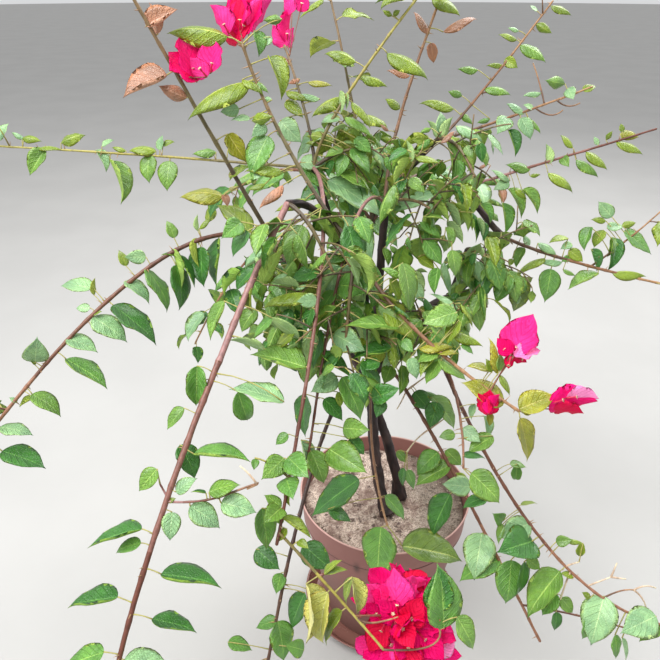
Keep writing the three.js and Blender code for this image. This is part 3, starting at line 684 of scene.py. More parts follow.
# Leaves that the photograph shows clearly, read from it. Each has the x and y of its base, the
# x and y of its tip and its width, in pixels, then its tint and, where it isn't flat, its pose.
SHOWN_LEAVES = {
    "cane_left_low": """
        197 366 196 406 22 mid hang, 184 408 166 430 14 fresh rim, 157 469 138 492 18 fresh rim,
        142 529 85 547 20 deep rim, 141 543 113 552 13 mid, 118 597 64 605 24 deep rim,
        161 574 224 584 27 deep rim, 152 619 199 630 22 deep rim, 176 492 197 477 14 pale,
        168 502 176 498 5 young, 172 512 170 540 19 pale, 190 506 222 528 23 pale, 209 492 241 483 17 fresh,
        221 503 258 512 24 pale, 206 493 190 491 5 deep rim, 180 445 197 480 22 deep behind,
        194 454 253 458 19 mid rim, 104 652 60 668 22 mid, 124 660 170 663 22 pale,
        262 283 282 247 14 fresh back, 287 274 272 279 5 pale tent, 272 318 252 338 10 mid,
        265 349 228 338 9 pale back, 284 402 228 386 18 pale, 224 301 208 341 17 fresh rim,
        252 288 252 314 8 young hang, 238 392 246 416 20 mid hang
    """,
    "cane_left_middle": """
        201 247 203 288 15 deep rim, 196 238 198 268 7 young back, 219 238 215 288 18 deep rim,
        180 255 196 288 13 deep rim, 172 249 183 290 7 fresh back, 176 265 183 312 19 deep,
        176 256 160 254 5 deep rim, 174 238 167 219 11 fresh, 146 269 172 312 13 mid,
        125 281 152 303 14 pale, 113 305 160 343 22 deep, 93 317 129 341 22 pale, 67 338 99 351 16 pale,
        66 359 110 387 21 mid rim, 93 288 59 284 14 pale, 94 295 94 277 5 young back, 90 308 75 308 9 pale,
        92 314 102 311 5 young, 35 362 37 338 24 pale, 35 365 29 357 4 young, 32 394 63 416 18 fresh,
        33 398 18 407 6 young cup, 17 402 9 397 5 pale, 0 427 34 434 13 pale, 2 451 47 467 21 deep,
        146 257 126 257 14 pale, 126 266 119 249 9 young, 198 231 197 214 5 pale back,
        199 229 213 215 5 young tent
    """,
    "cane_left_high": """
        24 139 10 131 6 pale tent, 22 138 43 141 9 young tent, 45 149 29 176 14 fresh hang,
        38 148 63 149 4 young tent, 61 143 87 133 12 young tent, 96 150 108 172 9 pale hang,
        102 146 114 139 5 pale, 126 151 110 146 6 young tent, 156 151 125 149 10 young tent,
        110 161 125 205 12 fresh hang, 149 155 148 184 16 fresh, 170 161 166 192 19 fresh,
        160 150 162 134 7 pale, 163 146 175 141 5 young, 216 152 190 153 10 fresh tent,
        228 149 243 158 8 young tent, -3 141 8 122 9 pale
    """,
    "shoot_top_left": """
        223 196 175 195 18 golden tent, 224 194 228 207 8 copper, 250 233 216 202 20 young,
        228 134 243 157 17 golden hang, 167 75 120 97 22 copper cup, 187 98 159 86 16 copper tent,
        146 26 178 8 18 copper cup, 158 34 150 2 12 copper back, 196 112 200 113 4 copper,
        229 177 246 166 7 young
    """,
    "shoot_top_bloom": """
        228 37 162 30 24 young tent, 250 82 181 119 16 young tent, 240 85 203 106 9 young tent,
        242 80 267 95 8 young tent, 256 81 270 93 7 fresh tent, 239 109 220 112 13 pale,
        250 119 230 119 6 pale, 266 125 251 137 13 pale, 268 136 249 177 26 mid,
        252 121 274 116 14 young tent, 256 31 260 57 11 mid hang, 271 37 263 47 8 pale,
        282 19 261 20 10 fresh tent, 268 58 284 100 17 young hang, 272 100 260 98 6 pale tent,
        284 172 240 168 9 young tent, 265 184 246 190 6 young tent, 283 185 256 209 11 copper tent,
        264 168 253 180 10 pale, 306 199 272 211 12 young tent, 302 225 286 267 26 fresh,
        283 233 268 237 5 pale tent
    """,
    "shoot_top_back": """
        300 79 287 84 6 copper tent, 290 64 274 54 8 copper tent, 286 92 314 102 9 young tent,
        286 101 304 118 12 young, 320 99 297 93 7 pale tent, 308 82 334 85 6 golden tent,
        280 121 303 144 22 pale, 334 141 303 134 14 young tent, 325 143 303 142 6 young tent,
        300 163 328 162 15 pale, 300 165 331 191 17 mid
    """,
    "shoot_top_middle": """
        356 62 321 50 12 young tent, 361 76 390 86 11 young tent, 387 53 433 78 15 young tent,
        392 16 382 10 6 young tent, 393 15 399 11 6 young tent, 340 91 342 115 6 pale back,
        346 93 347 111 4 pale back, 340 118 320 122 9 pale, 347 126 329 133 4 pale back,
        345 117 376 138 10 fresh tent, 352 102 374 130 8 young tent, 323 106 339 110 6 young tent,
        343 149 324 157 9 fresh, 345 155 337 178 15 mid, 355 138 372 153 14 mid, 352 148 371 174 15 mid,
        341 172 372 190 12 fresh, 332 160 328 178 8 deep, 328 180 385 217 23 pale, 343 217 374 263 28 pale,
        340 203 350 213 8 fresh
    """,
    "shoot_top_right": """
        429 34 414 8 8 copper tent, 410 76 385 68 6 copper tent, 400 109 384 97 9 young tent,
        431 43 433 58 10 copper hang, 432 -2 464 15 12 young tent, 443 32 480 14 7 copper tent,
        389 131 379 123 4 copper tent, 393 140 380 138 6 young tent
    """,
    "cane_top_right": """
        454 109 416 100 10 young tent, 478 70 456 68 9 fresh tent, 462 96 447 91 8 fresh tent,
        461 113 474 125 8 fresh tent, 490 119 476 123 7 mid tent, 551 6 574 15 7 young tent,
        536 24 553 34 10 young tent, 520 45 549 62 11 fresh tent, 505 59 518 68 11 young,
        503 65 485 65 6 young tent, 517 40 497 33 6 young tent, 519 31 507 27 5 pale tent,
        484 89 514 94 8 fresh tent, 537 11 530 5 3 pale
    """,
    "cane_right_top": """
        565 84 543 80 14 fresh tent, 568 88 574 100 12 pale, 583 91 597 85 8 young,
        541 93 521 95 6 pale tent, 524 114 505 101 8 pale tent, 533 109 523 104 5 pale,
        508 117 496 136 17 pale, 521 118 532 140 14 pale, 528 117 543 134 5 fresh tent,
        508 130 517 157 10 deep hang
    """,
    "cane_right_high": """
        549 164 547 143 8 pale back, 573 148 560 133 7 young tent, 562 157 569 167 10 fresh,
        530 170 504 163 11 fresh tent, 530 176 542 174 5 young tent, 548 173 577 193 9 young tent,
        576 160 602 178 11 fresh tent, 586 152 610 170 10 young tent, 598 145 594 136 5 pale,
        606 140 611 133 6 young tent, 616 142 646 154 8 young tent, 622 132 621 123 5 young,
        620 134 641 137 10 golden tent, 510 181 490 168 6 pale tent, 509 182 493 190 11 pale,
        493 182 480 182 6 fresh tent, 508 189 523 219 9 fresh hang, 515 190 528 200 8 young tent,
        522 190 539 214 9 fresh hang, 502 203 506 235 9 mid hang
    """,
    "cane_right_middle": """
        529 246 523 234 6 pale, 524 248 515 268 10 fresh hang, 512 259 509 267 6 young,
        545 258 513 276 8 young tent, 538 243 560 256 8 pale tent, 568 238 548 242 8 young rim,
        572 244 560 249 8 pale, 562 262 535 261 7 pale tent, 570 257 561 262 7 mid, 569 250 584 262 11 young,
        591 227 583 251 10 mid hang, 603 230 593 248 11 young, 611 237 608 258 8 fresh hang,
        613 238 609 272 14 deep hang, 591 249 598 272 9 deep hang, 612 217 598 201 14 pale,
        606 221 590 219 7 young tent, 607 228 625 226 9 pale, 622 226 638 222 8 young tent,
        624 231 653 254 12 mid, 612 273 649 275 10 young tent, 563 270 577 276 5 fresh tent,
        551 269 545 303 21 mid, 598 273 567 289 15 fresh rim
    """,
    "cane_right_low": """
        510 464 527 467 8 fresh, 517 464 516 479 11 mid hang, 521 505 538 502 4 young,
        503 521 492 513 14 mid, 503 524 497 545 8 fresh, 530 523 497 538 24 pale,
        533 541 498 552 34 deep rim, 511 560 507 607 28 mid, 524 562 518 598 10 deep,
        560 571 524 619 33 fresh rim, 573 577 560 573 6 young, 557 594 541 616 17 mid,
        561 598 574 614 13 fresh, 556 612 555 632 10 deep, 604 596 591 645 34 pale, 588 618 583 641 10 mid,
        590 598 582 592 6 young, 656 616 619 634 30 pale, 661 626 638 641 14 fresh, 615 635 617 660 9 mid,
        622 638 627 662 4 pale, 556 542 571 540 11 fresh, 566 540 585 543 6 young tent,
        583 543 579 555 9 young hang, 527 558 541 570 12 fresh
    """,
    "cane_right_drop": """
        463 428 479 441 15 pale, 493 436 467 453 17 fresh, 484 416 487 440 8 pale hang,
        471 473 503 504 26 fresh, 463 456 487 457 8 deep, 487 497 461 507 12 deep, 475 404 470 420 7 pale,
        455 434 438 437 11 fresh
    """,
    "cane_right_bloom": """
        504 403 462 380 21 golden, 520 418 530 463 17 golden, 519 409 557 394 25 golden rim,
        523 413 534 412 6 golden, 500 371 500 352 9 fresh, 498 374 491 334 7 golden tent,
        500 375 512 397 7 young tent, 489 371 466 365 10 golden rim, 492 372 486 358 8 young,
        419 349 457 345 10 golden tent, 436 352 461 353 9 golden, 438 353 416 362 11 fresh,
        436 357 419 377 9 young hang, 438 358 468 380 13 fresh, 384 310 420 342 15 young tent,
        457 312 421 324 23 fresh, 452 332 486 346 12 young tent, 459 320 446 345 14 young,
        432 322 446 342 11 fresh, 461 345 474 354 6 mid, 402 340 413 352 12 mid,
        399 327 344 324 20 fresh rim, 403 263 410 312 19 fresh, 402 276 379 266 9 fresh tent,
        390 278 401 303 9 young, 488 412 490 427 7 golden hang, 440 362 424 384 12 fresh,
        410 358 418 380 14 pale
    """,
    "cane_front_short": """
        334 291 321 311 13 mid, 339 285 375 288 28 mid rim, 343 308 367 318 13 mid, 334 334 365 351 26 pale,
        347 258 338 275 8 young hang, 350 255 326 246 10 mid, 347 255 318 262 11 mid,
        320 330 312 369 22 deep rim, 322 353 353 377 17 deep rim, 337 377 311 392 21 pale,
        342 377 363 421 23 mid, 338 392 341 408 8 young, 343 428 369 430 21 fresh, 324 399 344 421 16 deep,
        350 438 365 455 15 deep, 329 449 364 471 30 fresh rim, 311 451 325 485 18 fresh hang,
        301 440 306 474 11 pale hang, 305 394 304 438 16 deep
    """,
    "cane_front_right": """
        417 392 446 400 10 mid tent, 432 397 458 430 18 fresh, 437 402 430 428 19 deep,
        414 392 429 409 18 deep, 446 450 462 466 15 fresh, 438 452 415 476 20 mid,
        450 465 414 485 23 fresh rim, 397 451 407 463 9 fresh, 407 470 415 490 10 mid,
        404 468 402 487 8 deep, 471 487 441 484 20 pale, 457 473 465 491 12 young,
        450 494 430 538 26 deep rim, 482 533 475 575 31 pale, 500 560 457 580 24 mid
    """,
    "cane_front_dark": """
        256 549 279 569 21 deep, 281 573 277 590 14 mid, 278 621 285 663 24 mid, 277 620 255 628 13 mid,
        303 545 331 569 25 deep, 305 593 290 630 18 deep, 313 592 321 613 12 deep, 228 642 253 650 14 mid,
        304 650 285 645 17 mid
    """,
    "cane_front_drop": """
        359 479 310 516 25 deep, 328 509 353 521 13 deep, 385 496 407 520 13 mid, 381 527 377 583 34 mid,
        402 546 466 559 35 olive rim
    """,
    "cane_front_bloom": """
        306 285 293 291 5 pale tent, 311 294 256 306 12 young tent, 299 287 270 281 9 pale back,
        321 271 288 281 15 deep, 317 300 296 302 15 pale, 312 308 304 333 12 deep,
        299 338 266 315 10 pale back, 306 367 249 352 29 fresh rim, 288 434 275 445 10 mid,
        284 458 264 477 22 fresh, 288 457 307 476 25 mid, 286 478 292 496 22 mid, 256 459 254 469 8 mid,
        291 490 289 507 5 young hang, 281 508 264 494 12 fresh, 281 508 266 521 20 fresh rim,
        262 508 268 551 22 mid, 283 518 313 538 13 young rim, 298 541 308 548 9 young rim,
        284 520 275 522 6 fresh, 287 529 278 542 8 young, 324 574 342 559 9 young rim,
        324 574 348 569 7 young, 306 584 308 646 15 lemon hang, 328 592 319 648 21 lemon hang,
        342 611 322 646 12 young, 352 578 344 606 8 young, 352 577 359 616 17 lemon hang,
        444 628 440 563 36 mid, 436 612 441 566 24 deep rim, 457 617 476 651 20 fresh
    """,
    "crown": """
        438 139 428 119 7 pale back, 440 138 442 110 12 pale, 443 137 452 116 9 pale back,
        456 126 487 142 11 pale tent, 448 138 479 147 8 young tent, 441 143 456 129 5 copper tent,
        431 128 419 133 6 fresh tent, 407 150 387 162 11 deep rim, 409 158 392 185 9 fresh back,
        412 162 407 139 6 pale back, 424 141 412 140 8 young, 430 139 415 151 8 mid tent,
        415 157 443 163 7 young tent, 430 163 418 182 11 mid, 409 179 426 193 12 fresh,
        447 143 453 182 12 fresh hang, 457 160 455 184 9 mid hang, 463 156 474 176 8 fresh back,
        466 146 473 159 10 fresh, 480 143 482 161 10 deep hang, 433 201 450 222 9 fresh back,
        446 203 463 230 9 pale back, 452 201 463 228 11 young tent, 447 222 465 243 9 pale back,
        446 227 450 250 8 fresh hang, 427 203 434 214 6 pale, 424 217 447 219 6 fresh rim,
        420 222 445 240 9 mid tent, 481 204 492 224 8 mid hang, 472 213 478 243 9 deep rim,
        477 218 484 238 7 pale back, 480 222 484 242 8 deep hang, 393 210 441 190 17 pale,
        375 163 388 187 15 mid, 395 217 420 228 8 young tent, 371 219 400 247 17 mid,
        248 231 231 257 14 deep, 241 222 222 238 20 mid, 384 248 389 267 10 fresh rim,
        390 246 404 257 7 fresh tent, 412 272 425 292 12 pale back, 417 270 428 272 4 pale back,
        438 268 434 295 13 mid hang, 444 262 452 299 8 pale tent, 425 240 443 266 17 mid,
        418 257 436 270 11 young, 452 250 456 278 14 fresh, 411 283 424 303 13 pale,
        458 308 428 291 6 pale tent, 391 366 384 384 15 fresh, 372 398 400 388 20 deep rim,
        383 400 376 418 13 deep, 392 348 350 357 19 deep rim, 380 362 357 369 13 deep
    """,
}

# Bracts that the photograph shows, written in the same way, with a tone for a tint; the red tone paints shade
# on a bract, and the pink and light tones paint highlight
SHOWN_BRACTS = {
    "bloom_top_left": """
        197 79 181 33 30 hot inside, 197 82 169 49 24 hot inside, 211 73 212 37 25 pink inside,
        207 77 192 60 19 pink outside
    """,
    "bloom_top_middle": """
        237 44 228 -10 28 red outside, 240 36 261 -8 30 hot inside, 229 34 212 4 19 pink outside,
        250 30 271 -3 18 pink outside, 240 30 240 -14 26 hot inside
    """,
    "bloom_top_back": """
        287 44 291 7 13 hot outside, 287 46 274 27 19 pink outside, 288 47 293 27 12 pink outside,
        292 13 284 -4 14 pink outside, 300 12 304 -6 15 pink inside
    """,
    "bloom_right_high": """
        512 355 533 313 36 pink inside, 511 354 497 338 17 hot inside, 514 356 541 349 15 light inside,
        513 356 527 362 11 red outside, 511 356 508 369 10 red outside, 510 356 500 346 9 red outside
    """,
    "bloom_right_near": """
        487 415 490 389 21 red outside, 486 415 479 392 13 red outside, 488 414 499 393 13 hot outside
    """,
    "bloom_right_low": """
        549 406 597 398 25 hot outside, 552 403 586 391 14 pink outside, 551 409 584 412 12 red outside,
        566 398 599 397 13 light outside
    """,
    "bloom_front": """
        398 612 394 567 31 pink outside, 407 612 411 573 27 pink outside, 386 612 363 583 29 pink outside,
        393 606 371 590 20 hot inside, 397 618 377 598 25 hot inside, 392 613 404 591 22 pink inside,
        382 620 365 603 18 hot inside, 407 612 445 606 27 hot inside, 424 630 453 611 25 hot inside,
        430 628 457 641 22 hot inside, 409 624 422 595 27 red inside, 400 624 410 642 24 red inside,
        387 620 368 652 28 red inside, 388 638 397 657 22 pink outside, 430 638 424 664 26 pink outside,
        434 652 456 642 20 light outside, 438 656 462 655 17 hot outside, 372 652 354 637 19 pink outside,
        409 640 408 668 28 red inside, 418 632 441 656 28 hot inside, 397 648 385 668 22 hot inside,
        418 622 433 622 14 pink inside, 405 630 392 634 18 hot inside
    """,
}


def rows(written):
    """The rows of a written table: five whole numbers, a tint or tone, and a pose."""
    words = [f"{row} flat".split() for row in written.split(",")]
    return [(*map(int, row[:5]), row[5], row[6]) for row in words]


# Bract tones, as screen colours: the inside and the outside. Hot is the bracts' own magenta; pink and light
# are paler copies painted for lit bracts (painted highlight), pink partly also their own paler tone; red is a
# darker copy painted for bracts in shade (painted shade).
TONES = {
    "hot": ((230, 0, 98), (236, 4, 108)),
    "pink": ((240, 36, 124), (244, 50, 136)),
    "red": ((208, 0, 56), (214, 0, 66)),
    "light": ((246, 116, 176), (250, 134, 190)),
}
# grown bracts are dealt the painted-highlight pink and painted-shade red copies at random as well
GROWN_TONES = dict(hot=5, pink=3, red=2)

# Leaf tints: the upper side, the underside and the midrib
TINTS = {
    "deep": ((56, 116, 36), (130, 170, 64), (100, 158, 66)),
    "mid": ((98, 152, 58), (148, 184, 78), (142, 188, 84)),
    "olive": ((100, 128, 46), (144, 164, 72), (160, 176, 90)),
    "fresh": ((110, 154, 56), (154, 186, 84), (156, 194, 90)),
    # pale: a light green whose pallor and blue cast are partly painted sky sheen; the sprays deal it out at
    # random too
    "pale": ((142, 186, 124), (164, 196, 122), (176, 212, 144)),
    "young": ((126, 152, 34), (164, 182, 72), (176, 192, 80)),
    "golden": ((150, 154, 36), (178, 174, 80), (190, 184, 86)),
    "lemon": ((184, 186, 90), (210, 208, 134), (206, 206, 130)),
    "copper": ((172, 122, 88), (196, 150, 120), (204, 156, 122)),
}
YOUNG_TINTS = ("young", "golden", "lemon", "copper")

# How a spray deals out its tints
SPRAYS = {
    "deep_spray": dict(deep=5, mid=4, fresh=1),
    "mixed_spray": dict(deep=3, mid=4, fresh=2, pale=1),
    "light_spray": dict(mid=3, fresh=4, pale=2, young=1),
    "young_spray": dict(fresh=3, young=5, mid=2, copper=0.4),
    "yellow_spray": dict(young=8, fresh=1, golden=0.6),
    "golden_spray": dict(young=4, golden=3, fresh=2, mid=1),
    "copper_spray": dict(copper=4, golden=2, young=4, fresh=1),
    "core_spray": dict(deep=1.6, mid=4, olive=0.4, fresh=6, pale=2, young=2.4),
}
TIP_SPRAY = dict(young=6, fresh=3, copper=0.7)

# Stem colours at the foot, in the middle and at the tip
BARKS = {
    "cream": ((206, 178, 150), (222, 200, 172), (230, 214, 180)),
    "rose": ((162, 118, 114), (134, 88, 76), (108, 60, 46)),
    "russet": ((104, 66, 52), (122, 78, 58), (150, 104, 78)),
    "dark": ((58, 40, 36), (70, 46, 40), (92, 64, 48)),
    "olive": ((84, 70, 50), (108, 96, 60), (132, 108, 74)),
    "straw": ((128, 116, 66), (164, 152, 72), (176, 166, 84)),
    "tan": ((110, 80, 60), (146, 104, 74), (172, 130, 92)),
}

# What a cane or tuft has where its own facts don't say, and the measures of its path
USUAL_FACTS = dict(bark="olive", tint="core_spray", shoots=0.5, thick=(2.4, 1.4))
PATH_MEASURES = ("azimuth", "reach", "rise", "lean", "bow", "climb")

# Growth: lengths in millimetres, angles in degrees, the rest as shares
SIDE_KINDS = ("twig", "sprig", "shoot")
FINE_KINDS = ("sprig", "shoot")
TWIG_THICK = (1.1, 0.8)
TWIG_LENGTH = 62
FINE_THICK = (0.9, 0.7)
SPRIG_LENGTH = (26, 42)
SHOOT_LENGTH = (18, 42)
THORN_LENGTH = (4, 9)
THORN_RADII = (0.9, 0.65, 0.4, 0.12)
CANE_TWIG_BARE = 0.35
TUFT_TWIG_BARE = 0.15
TWIG_LEAF_STEP = 24
TUFT_LEAF_STEP = 14
FINE_LEAF_SIZE = 0.72
YOUNG_FROM, YOUNG_SPAN = 0.8, 0.2  # where along a stem its leaves turn young
YOUNG_SMALLER = 0.45
YOUNG_TINTED = 0.7
SAME_TINT = 0.5
THORNY = 0.75
SHOWN_THORNY = 0.6
TENTED = 0.4
GOLDEN_TURN = 137.5
CANE_HANG = 0.15
TUFT_HANG = 0.6
TUFT_LEAF_SIZE = 0.9
ROLL = 28
FLARE = 4.5
FLARE_SHARE = 0.12
FLOWER_TWIG = 22
STALK_THICK = (1.4, 1.2)
STALK_RADII = (0.6, 0.5, 0.5, 0.6)
BUD_SIZE = 0.62


class Plan:
    """The bush's stems, leaves, thorns and flowers, worked out from the rule before any mesh."""

    LEAST_APART = 11  # between the middles of two leaves
    CLEAR_VIEW = 10  # pixels round a shown leaf
    BOX_MARGIN = 8
    OVER_GROUND, OVER_SOIL, OVER_RIM = 6, 12, 4
    RIM_INSIDE, RIM_OUTSIDE = 16, 6

    def __init__(self, scene):
        self.leaf_size = scene.bush_foliage.leaf_length / MM
        self.leaf_width = scene.bush_foliage.leaf_width
        self.soil_z = scene.bush_pot.soil_height / MM
        self.rim = scene.bush_pot.rim_radius / MM
        self.rim_z = scene.bush_pot.rim_height / MM
        self.limbs = {}
        self.masses = {}
        self.leaves = []
        self.thorns = []
        self.spots = {}
        self.eye = Eye()
        self.shown = []
        low, high = CAD_BOX
        self.low = np.array(low) / MM - self.BOX_MARGIN
        self.high = np.array(high) / MM + self.BOX_MARGIN
        self.grow_limbs()
        self.grow_masses()
        self.grow_leaves()

    def grow_limbs(self):
        foot_z = self.soil_z + SOIL_MOUND + GAP
        for name, facts in LIMBS.items():
            path = dict(facts)
            thick = path.pop("thick")
            foot = path.pop("foot", None)
            limb = path.pop("limb", None)
            start = np.array([*foot, foot_z], float) if foot else self.limbs[limb].at(1)
            self.limbs[name] = Stem(arch(start, **path), thick, footed=bool(foot))

    def grow_masses(self):
        for name, facts in {**CANES, **TUFTS}.items():
            tuft = name in TUFTS
            spec = {**USUAL_FACTS, "seen": not tuft, **facts}
            stem = self.branch(self.limbs[spec["limb"]].at(1), spec, kind="cane", tuft=tuft, spec=spec)
            self.masses[name] = [stem]
            if "fork" in spec:
                fork = {"bark": spec["bark"], "tint": spec["tint"], **spec["fork"]}
                branch = self.branch(stem.at(fork["at"]), fork, kind="fork", tuft=False, spec=spec)
                self.masses[name].append(branch)
        for k, stems in enumerate(self.masses.values()):
            self.grow_twigs(stems, Dice(SEEDS["twigs"] + k))

    @staticmethod
    def branch(start, measures, **facts):
        """A cane or a fork of one, from its measures."""
        path = {key: measures[key] for key in PATH_MEASURES if key in measures}
        dress = {key: measures[key] for key in ("bark", "tint")}
        return Stem(arch(start, **path), measures["thick"], **dress, **facts)

    def sprout(self, stem, share, turn, length, thick, kind):
        """A side twig of a stem, by the source's rule."""
        start = stem.at(share)
        ahead = stem.ahead(share)
        way = unit(outwards(ahead, turn) + ahead * 0.45)
        pull = start + way * length / 2 + UP * length * 0.12
        twig = Stem((start, pull, start + way * length), thick, kind=kind)
        twig.facts.update({**stem.facts, "kind": kind, "leaves": 0, "parent": stem})
        return twig

    def grow_twigs(self, stems, luck):
        stem = stems[0]
        spec = stem.facts["spec"]
        tuft = stem.facts["tuft"]
        bare = TUFT_TWIG_BARE if tuft else CANE_TWIG_BARE
        count = spec.get("twigs", 0)
        twigs = []
        for k in range(count):
            share = bare + (1 - bare) * (k + 0.5) / count
            length = TWIG_LENGTH * luck.between(0.8, 1.25)
            turn = k * GOLDEN_TURN + luck.between(-20, 20)
            twigs.append(self.sprout(stem, share, turn, length, TWIG_THICK, "twig"))
        finer = Dice(luck.state)
        for twig in list(twigs):
            for share in (0.42, 0.72) if tuft else (0.5,):
                length = finer.between(*SPRIG_LENGTH)
                turn = finer.between(0, 360)
                twigs.append(self.sprout(twig, share, turn, length, FINE_THICK, "sprig"))
        stems.extend(twigs)

    def grow_leaves(self):
        for k, (name, written) in enumerate(SHOWN_LEAVES.items()):
            if name == "crown":
                stems = [stem for mass in TUFTS for stem in self.masses[mass]]
            else:
                stems = self.masses[name]
            for twig in SHOWN_TWIGS.get(name, ()):
                stems.append(self.shown_twig(stems, *twig))
            for row in rows(written):
                self.shown_leaf(stems, row, Dice(SEEDS["shown"] + 97 * k + len(self.leaves)))
        self.shown_pixels, self.shown_depths = self.eye.pixels(np.array(self.shown))
        for k, stems in enumerate(self.masses.values()):
            luck = Dice(SEEDS["leaves"] + k)
            for stem in list(stems):
                if stem.facts["kind"] != "shown":
                    self.leaf_stem(stem, stems, luck)
            stems[:] = [stem for stem in stems if stem.facts.get("leaves", 1)]

    @staticmethod
    def bear(stem):
        """Counts a leaf on a stem and on those that carry it."""
        while stem is not None:
            stem.facts["leaves"] = stem.facts.get("leaves", 0) + 1
            stem = stem.facts.get("parent")

    def nearest(self, stems, x, y):
        """The stem, and the share along it, that pass closest to a pixel."""
        best = None
        for stem in stems:
            pixels, depths = self.eye.pixels(stem.line)
            gaps = np.hypot(pixels[:, 0] - x, pixels[:, 1] - y)
            k = int(np.argmin(gaps))
            if best is None or gaps[k] < best[0]:
                best = gaps[k], stem, stem.shares[k], depths[k]
        return best[1:]

    def shown_twig(self, stems, bark, foot, *ahead):
        """A side twig through three pixels, as deep as the stem where it starts."""
        cane, share, depth = self.nearest(stems, *foot)
        start = cane.at(share)
        middle, end = (self.eye.spot(*pixel, depth) for pixel in ahead)
        twig = Stem((start, 2 * middle - (start + end) / 2, end), (1.2, 0.8), kind="shown")
        twig.facts.update({**cane.facts, "kind": "shown", "bark": bark})
        return twig

    def shown_leaf(self, stems, row, luck):
        """A leaf that the photograph shows, with its stalk to the nearest stem."""
        stem, share, depth = self.nearest(stems, *row[:2])
        leaf = self.shown_blade(row, depth, luck)
        base, tip = leaf["base"], leaf["tip"]
        root = stem.at(share)
        reach = base - root
        root = root + unit(reach + UP * 0.01) * stem.radius(share) * 0.6
        knee = (root + base) / 2 + UP * np.linalg.norm(reach) * luck.between(0, 0.2)
        leaf["stalk"] = (root, knee, base)
        self.leaves.append(leaf)
        middle = (base + tip) / 2
        self.shown.extend([middle, base * 0.75 + tip * 0.25, base * 0.25 + tip * 0.75])
        cell = tuple(int(v // self.LEAST_APART) for v in middle)
        self.spots.setdefault(cell, []).append(middle)
        stem.facts.setdefault("nodes", []).append(share)
        self.bear(stem)
        if luck.roll() < SHOWN_THORNY and stem.thick[0] > 1.4:
            self.add_thorn(stem, share, luck.between(0, 360), luck)

    def shown_blade(self, row, depth, luck):
        """The measures of a blade whose base, tip and width fall where the photograph shows them."""
        base_x, base_y, tip_x, tip_y, wide, tint, pose = row
        shape = POSES[pose]
        depth = depth + shape["behind"]
        scale = depth / FOCAL
        base = self.eye.spot(base_x, base_y, depth)
        tip = self.eye.spot(tip_x, tip_y, depth)
        seen_length = np.linalg.norm(tip - base)
        seen_width = wide * scale
        length = max(seen_length, seen_width / shape["widest"])
        sight = unit(base - self.eye.place)
        nearer = math.sqrt(max(0, length**2 - seen_length**2))
        tip = tip - sight * nearer * shape["towards"]
        axis = unit(tip - base)
        across = unit(np.cross(axis, -sight))
        facing = np.cross(across, axis)
        level = min(1, max(0.35, seen_width / (shape["widest"] * length)))
        tilt = math.sqrt(1 - level**2)
        choices = [facing * level + across * tilt * way for way in (1, -1)]
        if shape["back"]:
            choices = [-choice for choice in choices]
        normal = max(choices, key=lambda choice: choice[2])
        width = seen_width / level / shape["shown"]
        side = np.cross(normal, axis)
        lower = -math.copysign(1, side.dot(self.eye.up))
        droop = luck.between(*shape["droop"])
        axis, normal = (
            axis * math.cos(droop / 2) + normal * math.sin(droop / 2),
            normal * math.cos(droop / 2) - axis * math.sin(droop / 2),
        )
        return dict(
            base=base, tip=tip, axis=axis, normal=normal, length=length, width=width, tint=tint, fine=True,
            fold=luck.between(*shape["fold"]), roll=luck.between(*shape["roll"]),
            skew=lower * shape["skew"], droop=droop, curl=luck.between(0.1, 0.5),
            twist=luck.between(-0.15, 0.15), wave=luck.between(*shape["wave"]),
            phase=luck.between(0, 2 * math.pi),
        )

    def in_frame(self, base, tip):
        """Whether the photograph would show a leaf, had it been there."""
        pixels, _ = self.eye.pixels(np.array([base, tip]))
        return bool(((pixels > 0) & (pixels < FRAME)).all(1).any())

    def hides(self, base, tip):
        """Whether a leaf would stand before one that the photograph shows."""
        pixels, depths = self.eye.pixels(np.array([(base + tip) / 2, tip]))
        for pixel, depth in zip(pixels, depths):
            gaps = np.hypot(*(self.shown_pixels - pixel).T)
            if ((gaps < self.CLEAR_VIEW) & (self.shown_depths > depth - 4)).any():
                return True
        return False

    def leaf_stem(self, stem, stems, luck):
        spec, tuft, kind = stem.facts["spec"], stem.facts["tuft"], stem.facts["kind"]
        small = kind in SIDE_KINDS
        step = TUFT_LEAF_STEP if tuft else TWIG_LEAF_STEP if small else spec["every"]
        hang = spec.get("hang", TUFT_HANG if tuft else CANE_HANG)
        first = 0.25 if small else spec.get("bare", 0.1)
        count = max(1, round(stem.length * (1 - first) / step))
        main_tint = luck.pick(SPRAYS[stem.facts["tint"]])
        nodes = []
        for k in range(count + 1):
            share = min(0.985, first + (1 - first) * k / count)
            nodes.append(share)
            young = max(0, (share - YOUNG_FROM) / YOUNG_SPAN)
            size = self.leaf_size * (TUFT_LEAF_SIZE if tuft else 1) * (1 - YOUNG_SMALLER * young)
            if kind in FINE_KINDS:
                size *= FINE_LEAF_SIZE
            tint = main_tint if luck.roll() < SAME_TINT else luck.pick(SPRAYS[stem.facts["tint"]])
            if young > 0.5 and not tuft and luck.roll() < YOUNG_TINTED:
                tint = luck.pick(TIP_SPRAY)
            for attempt in range(3):
                turn = k * GOLDEN_TURN + luck.between(-25, 25) + attempt * 50
                if self.add_leaf(stem, share, turn, size, hang, tint, luck, spec.get("seen")):
                    self.bear(stem)
                    break
            if not small and luck.roll() < THORNY:
                self.add_thorn(stem, share, turn + luck.between(-30, 30), luck)
            if not small and not tuft and share < 0.95 and luck.roll() < spec["shoots"]:
                shoot = self.sprout(stem, share, turn + 60, luck.between(*SHOOT_LENGTH), FINE_THICK, "shoot")
                stems.append(shoot)
                self.leaf_stem(shoot, stems, luck)
        stem.facts["nodes"] = nodes

